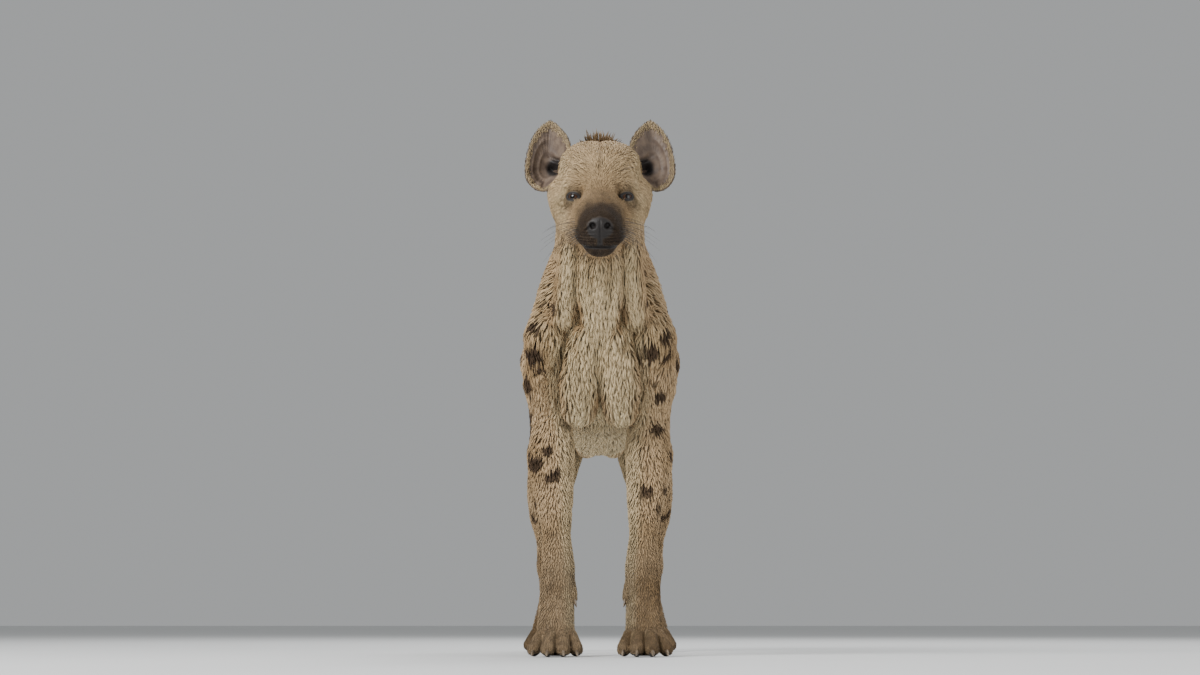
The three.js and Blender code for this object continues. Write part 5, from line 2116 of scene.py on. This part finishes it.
@dataclass
class Whiskers:
    """Whiskers of the lips, brow and cheek, swept along their curves by geometry nodes.

    Attributes:
        flesh: The field whose surface they grow from.
        seed: For the random draws.
    """

    flesh: Flesh
    seed: int = 11

    def spines(self) -> tuple[np.ndarray, np.ndarray]:
        """Gives the points of each whisker and how thick it is at each.

        Returns:
            Whiskers by points by 3, and the thickness as a share of the root's.
        """
        draw = np.random.default_rng(self.seed)
        roots: list[tuple[Point, Point, float]] = []
        for row in range(5):
            for place in range(6):
                forward = 214 - 11 * place - 3 * row
                up = lip_height(np.array([forward]))[0] + 7 + 5.2 * row
                way = (1.0, 0.55 - (0.35 + 0.13 * place), -0.42 + 0.10 * row)
                roots.append(((0.0, forward, up), way, 26 + 7.5 * place))
        for place in range(3):
            roots.append(((0.0, 70 + 5 * place, 2), (0.75, 0.5, 0.55), 30))
            roots.append(((0.0, 150 - 14 * place, -112), (0.9, 0.1, -0.55), 20))
        share = np.linspace(0, 1, 8)
        found = []
        for (_, forward, up), way, length in roots:
            start = np.array(on_head(4 if forward > 100 else 24, forward, up))
            ray = np.array((1.0, 0, 0)) if forward > 100 else unit(np.array(on_head(0.55, 0, 1)) - POLL)
            root = self.flesh.outward(tuple(start), ray) - ray * 2.5
            length *= draw.uniform(0.85, 1.15)
            ahead = unit(np.array(on_head(way[0], way[1], way[2])) - POLL + draw.normal(0, 0.07, 3))
            back = -FORWARD * 0.30 - np.array((0, 0, 0.34))
            found.append(root + ahead * (length * share)[:, None] + back * (length * share**2)[:, None])
        one = np.array(found)
        both = np.concatenate((one, one * (-1.0, 1, 1)))
        return both, 1.0 - 0.88 * share

    @staticmethod
    def lay_nodes(g: Graph) -> None:
        """Adds the nodes: a round profile swept along each line, thinner towards its tip.

        Args:
            g: The tree's graph.
        """
        given = g.add("NodeGroupInput", {}, {})
        lines = g.add("GeometryNodeMeshToCurve", {}, {"Mesh": given.out("Geometry")})
        taper = g.add("GeometryNodeInputNamedAttribute", {"data_type": "FLOAT"}, {"Name": "taper"})
        ring = g.add("GeometryNodeCurvePrimitiveCircle", {}, {
            "Resolution": given.out("Sides"), "Radius": 1.0})
        swept = g.add("GeometryNodeCurveToMesh", {}, {
            "Curve": lines.out("Curve"), "Profile Curve": ring.out("Curve"),
            "Scale": taper.out("Attribute") * given.out("Thickness"), "Fill Caps": True})
        real = g.add("GeometryNodeRealizeInstances", {}, {"Geometry": swept.out("Mesh")})
        dressed = g.add("GeometryNodeSetMaterial", {}, {
            "Geometry": real.out("Geometry"), "Material": given.out("Finish")})
        g.add("NodeGroupOutput", {}, {0: dressed.out("Geometry")})

    def build(self, name: str, finish: bpy.types.Material, thickness: float = 0.00042) -> bpy.types.Object:
        """Makes the whiskers as one mesh.

        Args:
            name: The name of the piece.
            finish: Its material.
            thickness: How thick a root is across half, in metres.

        Returns:
            The piece.
        """
        spines, taper = self.spines()
        many, steps = spines.shape[:2]
        mesh = bpy.data.meshes.new(name + "_spines")
        rows = np.arange(many * steps).reshape(many, steps)
        edges = np.stack((rows[:, :-1], rows[:, 1:]), -1).reshape(-1, 2)
        mesh.from_pydata(metres(spines.reshape(-1, 3)).tolist(), edges.tolist(), [])
        write_fact(mesh, "taper", np.tile(taper, many))
        tree = GeometryTree("whiskers", (("Thickness", "Float"), ("Sides", "Int"), ("Finish", "Material")))
        self.lay_nodes(Graph(tree.tree))
        values = {"Thickness": thickness, "Sides": 5, "Finish": finish}
        made = tree.applied(linked(name + "_spines", mesh), name, values)
        made.data.polygons.foreach_set("use_smooth", np.ones(len(made.data.polygons), bool))
        return made


@dataclass
class Studio:
    """Floor, lights, sky and the camera at the photograph's place.

    Attributes:
        lens: Focal length, in millimetres on a 36 millimetre sensor.
        eye: Where the camera stands, in metres.
        pitch: How far it looks up, in degrees.
    """

    lens: float = 60.0
    eye: tuple[float, float, float] = (0.0, -3.9502, 0.0585)
    pitch: float = 8.152

    def build(self) -> None:
        """Sets up everything that isn't the animal."""
        self.set_floor()
        self.set_sky()
        self.set_lights()
        camera = linked("camera", bpy.data.cameras.new("camera"))
        camera.data.lens, camera.data.sensor_width = self.lens, 36.0
        camera.data.clip_start, camera.data.clip_end = 0.05, 200.0
        camera.location = self.eye
        camera.rotation_euler = (math.radians(90 + self.pitch), 0, 0)
        bpy.context.scene.camera = camera

    @staticmethod
    def set_floor() -> None:
        """Lays a wide pale floor."""
        wide = 60.0
        corners = [(-wide, -wide, 0), (wide, -wide, 0), (wide, wide, 0), (-wide, wide, 0)]
        mesh = bpy.data.meshes.new("floor")
        mesh.from_pydata(corners, [], [(0, 1, 2, 3)])
        made, graph = new_material("floor_paint")
        place = graph.add("ShaderNodeTexCoord", {}, {}).out("Object")
        shade = graph.mixed(graph.noise(place, 1.5, 2.0), colour("d6d7d7"), colour("dcdddc"))
        finish_surface(graph, shade, 0.8, None, {})
        mesh.materials.append(made)
        linked("floor", mesh)

    @staticmethod
    def set_sky() -> None:
        """Fills the room with soft even light."""
        world = bpy.data.worlds.new("room")
        world.use_nodes = True
        graph = Graph(world.node_tree)
        light = graph.add("ShaderNodeBackground", {}, {"Color": colour("c9cbcc"), "Strength": 0.66})
        graph.add("ShaderNodeOutputWorld", {}, {"Surface": light.out("Background")})
        bpy.context.scene.world = world

    @staticmethod
    def set_lights() -> None:
        """Hangs three broad soft lights."""
        for name, place, power, size in (
            ("key", (-2.6, -3.0, 3.0), 250.0, 2.0),
            ("fill", (3.2, -2.2, 1.6), 60.0, 3.0),
            ("top", (0.8, 2.4, 3.6), 110.0, 2.6),
        ):
            lamp = bpy.data.lights.new(name, "AREA")
            lamp.energy, lamp.size = power, size
            made = linked(name, lamp)
            away = np.array((0.0, 0.0, 0.55)) - np.array(place)
            flat = math.hypot(away[0], away[1])
            made.location = place
            made.rotation_euler = (math.atan2(flat, -away[2]), 0, math.atan2(-away[0], away[1]))


@dataclass
class Hyena:
    """The whole animal, piece by piece.

    Attributes:
        nodes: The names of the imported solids.
        quick: Whether to grow a sparser coat, while trying things.
    """

    nodes: Sequence[str]
    quick: bool
    flesh: Flesh = field(init=False)
    eye: EyePlace = field(init=False)
    skin: Skin = field(init=False)
    skin_object: bpy.types.Object = field(init=False)
    short_blade: bpy.types.Object = field(init=False)
    long_blade: bpy.types.Object = field(init=False)
    tufts: bpy.types.Material = field(init=False)

    def __post_init__(self) -> None:
        """Lays out the body."""
        self.flesh = Flesh()
        self.eye = EyePlace.found(self.flesh)
        self.skin = Skin(self.flesh, self.eye, CoatLie(self.eye.centre))
        self.tufts = CoatFinish().material("coat_tufts", Surface.TUFTS)

    @staticmethod
    def dress(
        piece: bpy.types.Object, slot: Slot, finish: Union[bpy.types.Material, None] = None,
        replaced: Sequence[str] = (),
    ) -> None:
        """Gives a piece its finish and its place on the model.

        Args:
            piece: The piece.
            slot: The material slot meant for it; not used.
            finish: Its material, or None where it has one.
            replaced: The solids that it stands for.
        """
        if finish is not None:
            piece.data.materials.clear()
            piece.data.materials.append(finish)
        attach(piece, "root")
        if replaced:
            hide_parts(*replaced)
        LOG.info("piece %s: %d faces", piece.name, len(piece.data.polygons))

    def build_skin(self) -> None:
        """Makes the one skin that stands for every solid of flesh."""
        shell = self.skin.build()
        self.skin_object = shell.object("skin")
        flesh = [n for n in self.nodes if not n.startswith(("ear_", "eye_", "claw_"))]
        self.dress(self.skin_object, Slot.COAT, CoatFinish().material("skin", Surface.SKIN), flesh)

    def build_ears(self) -> None:
        """Makes both ears and their hair."""
        finish = EarFinish().material("ear_skin")
        shell = Ear().shell()
        for side, sign in SIDES.items():
            ear = mirrored(shell, sign)
            ear.facts["root"] = metres(ear.points)
            piece = ear.object(f"ear_cup_{side}")
            self.dress(piece, Slot.EAR_SKIN, finish, [f"ear_{side}"])
            grower = CoatGrower(self.short_blade, piece, f"ear_coat_{side}")
            unwrap = Unwrap((96.0 * sign, -300.0, 890.0), (0, 1, 0), (0, 0, 1))
            self.grow(grower, ear, f"coat_ear_{side}", Slot.EAR_SKIN, unwrap,
                      spacing=0.0018, hug=0.0, disorder=0.22, seed=40 + sign)

    def build_eyes(self) -> None:
        """Makes both eyeballs and the rims of their lids."""
        maker = Eye(self.eye)
        ball, rims = maker.ball(), maker.rims()
        rim = PlainFinish("0a0807", "1a1412", 0.5, Grain.CLOUDY, 500.0, 0.0002, 0.15).material("lid_rim")
        for side, sign in SIDES.items():
            turn = np.array((sign, 1.0, 1.0))
            place = metres(self.eye.centre * turn)
            finish = EyeFinish(tuple(place), tuple(self.eye.gaze * turn)).material(f"eye_{side}")
            self.dress(mirrored(ball, sign).object(f"eyeball_{side}"), Slot.EYE, finish, [f"eye_{side}"])
            self.dress(mirrored(rims, sign).object(f"lid_rims_{side}"), Slot.COAT, rim)

    def build_claws(self) -> None:
        """Makes the sixteen claws of the toes and the two of the first toes."""
        horn = PlainFinish("3a3028", "85745f", 0.42, Grain.STREAKED, 420.0, 0.0003, 0.1)
        finish = horn.material("claw_horn")
        claws: dict[str, Claw] = {}
        for paw in PAWS:
            for toe in Toe:
                x, y, z = paw.tip(toe)
                name = f"claw_{paw.end}_SIDE_{toe.name.lower()}"
                lean = 0.004 * (x - paw.middle[0])
                root = (x, y - 3 * paw.size, z - 4.6)
                claws[name] = Claw(root, (lean, -1, 0.02), 24 * paw.size, 5.3 * paw.size, 7.0)
        claws["claw_fore_SIDE_dew"] = Claw((47.5, -209, 112), (-0.13, -0.3, -1), 26, 3.9, -4.0)
        for name, claw in claws.items():
            for side, sign in SIDES.items():
                node = name.replace("SIDE", side)
                piece = mirrored(claw.shell(), sign).object(node.replace("claw", "horn"))
                self.dress(piece, Slot.HORN, finish, [node])

    def build_whiskers(self) -> None:
        """Makes the whiskers."""
        finish = PlainFinish("0f0c0a", "2a221c", 0.35, Grain.CLOUDY, 200.0, 0.0001).material("whisker_hair")
        self.dress(Whiskers(self.flesh).build("whiskers", finish), Slot.DARK_COAT)

    def grow(
        self, grower: CoatGrower, bed: Shell, name: str, slot: Slot, unwrap: Unwrap,
        spacing: float, hug: float, disorder: float, seed: int, curl: float = 0.16,
    ) -> None:
        """Grows one piece of coat and dresses it.

        Args:
            grower: What grows it.
            bed: The skin that it grows on.
            name: Its name.
            slot: Its material slot.
            unwrap: How its skin is laid out flat.
            spacing: How far apart the tufts stand, in metres.
            hug: How closely they follow the skin, from 0 to 1.
            disorder: How far they stray from the lie, in radians.
            seed: For the random draws.
            curl: How far a tip bends aside, as a share of the length.
        """
        numbers = {"Spacing": spacing * (2.0 if self.quick else 1.0), "Seed": seed, "Hug": hug,
                   "Disorder": disorder, "Curl": curl}
        piece = grower.grow(bed, name, self.tufts, **numbers)
        unwrap.lay(piece.data)
        self.dress(piece, slot)

    def covered(self) -> dict[str, np.ndarray]:
        """Splits the skin into the regions of the coat.

        Returns:
            Whether each triangle lies in a region, under the region's name.
        """
        shell = self.skin.shell
        votes = np.argmax(self.skin.weights, axis=1)[shell.faces]
        part = np.where(votes[:, 1] == votes[:, 2], votes[:, 1], votes[:, 0])
        middles = shell.middles()
        along, height = middles[:, 1], middles[:, 2]
        head, forward = part == Part.HEAD, in_head(middles)[1]
        trunk = (part == Part.TRUNK) | ((part == Part.FORELEG) & (height > 500))
        trunk |= (part == Part.HINDLEG) & (height > 540)
        return {
            "face": head & (forward > 62), "crown": head & (forward <= 62), "neck": part == Part.NECK,
            "shoulder": trunk & (along < -95), "ribs": trunk & (along >= -95) & (along < 150),
            "rump": trunk & (along >= 150),
            "foreleg": (part == Part.FORELEG) & ~trunk, "hindleg": (part == Part.HINDLEG) & ~trunk,
            "forepaw": part == Part.FOREPAW, "hindpaw": part == Part.HINDPAW, "tail": part == Part.TAIL,
        }

    def build_coat(self) -> None:
        """Grows the coat of every part of the body, and the crest and the brush."""
        short = CoatGrower(self.short_blade, self.skin_object, "coat")
        shell, covered = self.skin.shell, self.covered()
        out = shell.middles()[:, 0]
        for number, (name, region) in enumerate(REGIONS.items()):
            for side, sign in SIDES.items():
                bed = shell.part(covered[name] & (out * sign > 0))
                self.grow(short, bed, f"coat_{name}_{side}", region.slot, region.unwrap.on_side(sign),
                          region.spacing, 1.0, region.disorder, 100 + 2 * number + (sign > 0))
        tail = shell.part(covered["tail"])
        along_tail = Unwrap((0, 436, 646), (0, 0.8, -0.6), (0, -0.6, -0.8))
        self.grow(short, tail, "coat_tail", Slot.DARK_COAT, along_tail, 0.0034, 0.85, 0.25, 7)
        self.grow_crest(shell)
        self.grow_brush(tail, along_tail)

    def grow_crest(self, shell: Shell) -> None:
        """Grows the short mane on the nape and withers, whose hair leans forward.

        Args:
            shell: The whole skin.
        """
        x, y, z = shell.points.T
        facing = shell.facts["facing"]
        side = np.abs(x)
        line = ease(y, -322, -282) * ease(y, 60, 5) * ease(z, 660, 700)
        bed = Shell(shell.points, shell.faces, dict(shell.facts))
        cover = line * ease(side, 34, 14) * ease(facing[:, 2], 0.15, 0.45)
        share = ease(y, -300, 20)
        ahead = np.column_stack((0.5 * x / 20, -np.ones(len(x)), 0.9 - 0.95 * share))
        ahead = laid_on(ahead, facing)
        along = 0.74 + 0.26 * np.sin(math.pi * np.clip(0.1 + 0.9 * share, 0, 1))
        nape = ease(y, -310, -235)
        bed.facts.update({
            "lie": ahead, "cover": cover, "long": 0.058 * along * (1 - 0.45 * ease(side, 4, 30)),
            "wide": 0.0026 + 0.0010 * nape,
            "rise": 0.036 * (0.42 + 0.58 * nape) * along * (1 - 0.45 * share) * (1 - 0.8 * ease(side, 4, 32)),
            "dark": np.clip(bed.facts["dark"] + 0.42, 0, 1), "spotty": bed.facts["spotty"] * 0.3,
        })
        part = bed.part((cover[shell.faces] > 0.02).any(axis=1))
        grower = CoatGrower(self.long_blade, self.skin_object, "crest")
        unwrap = Unwrap((0, -130, 640), (0, 1, -0.6), (0, 0, -1))
        self.grow(grower, part, "crest", Slot.COAT, unwrap, 0.0027, 0.0, 0.24, 21, 0.13)

    def grow_brush(self, tail: Shell, unwrap: Unwrap) -> None:
        """Grows the black brush that hangs past the end of the tail.

        Args:
            tail: The skin of the tail.
            unwrap: How it is laid out flat.
        """
        line = spline(TAIL_LINE, np.linspace(0, 1, 200))
        which = np.argmin(np.linalg.norm(tail.points[:, None] - line[None], axis=2), axis=1)
        share = which / (len(line) - 1)
        ahead = unit(np.gradient(line, axis=0))[which]
        facing = tail.facts["facing"]
        lie = laid_on(ahead, facing, 0.8)
        bed = Shell(tail.points, tail.faces, dict(tail.facts))
        cover = ease(share, 0.42, 0.62)
        many = len(share)
        bed.facts.update({
            "lie": lie, "cover": cover,
            "long": 0.050 + 0.024 * ease(share, 0.45, 0.8) - 0.022 * ease(share, 0.82, 1.0),
            "wide": np.full(many, 0.0036), "rise": 0.0120 - 0.0095 * ease(share, 0.75, 1.0),
            "dark": ease(share, 0.35, 0.55), "spotty": np.zeros(many),
        })
        part = bed.part((cover[tail.faces] > 0.02).any(axis=1))
        grower = CoatGrower(self.long_blade, self.skin_object, "brush")
        self.grow(grower, part, "tail_brush", Slot.DARK_COAT, unwrap, 0.0023, 0.0, 0.14, 31, 0.10)

    def build(self) -> None:
        """Makes every piece in order."""
        self.short_blade = SHORT_BLADE.object("short_tuft")
        self.long_blade = LONG_BLADE.object("long_tuft")
        self.build_skin()
        self.build_eyes()
        self.build_ears()
        self.build_claws()
        self.build_whiskers()
        self.build_coat()
        for blade in (self.short_blade, self.long_blade):
            bpy.data.objects.remove(blade)


def main() -> None:
    """Builds the animal and its studio."""
    logging.basicConfig(level=logging.INFO, format="%(message)s")
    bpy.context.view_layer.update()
    Studio().build()
    Hyena(sorted(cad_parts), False).build()


if __name__ == "__main__":
    main()
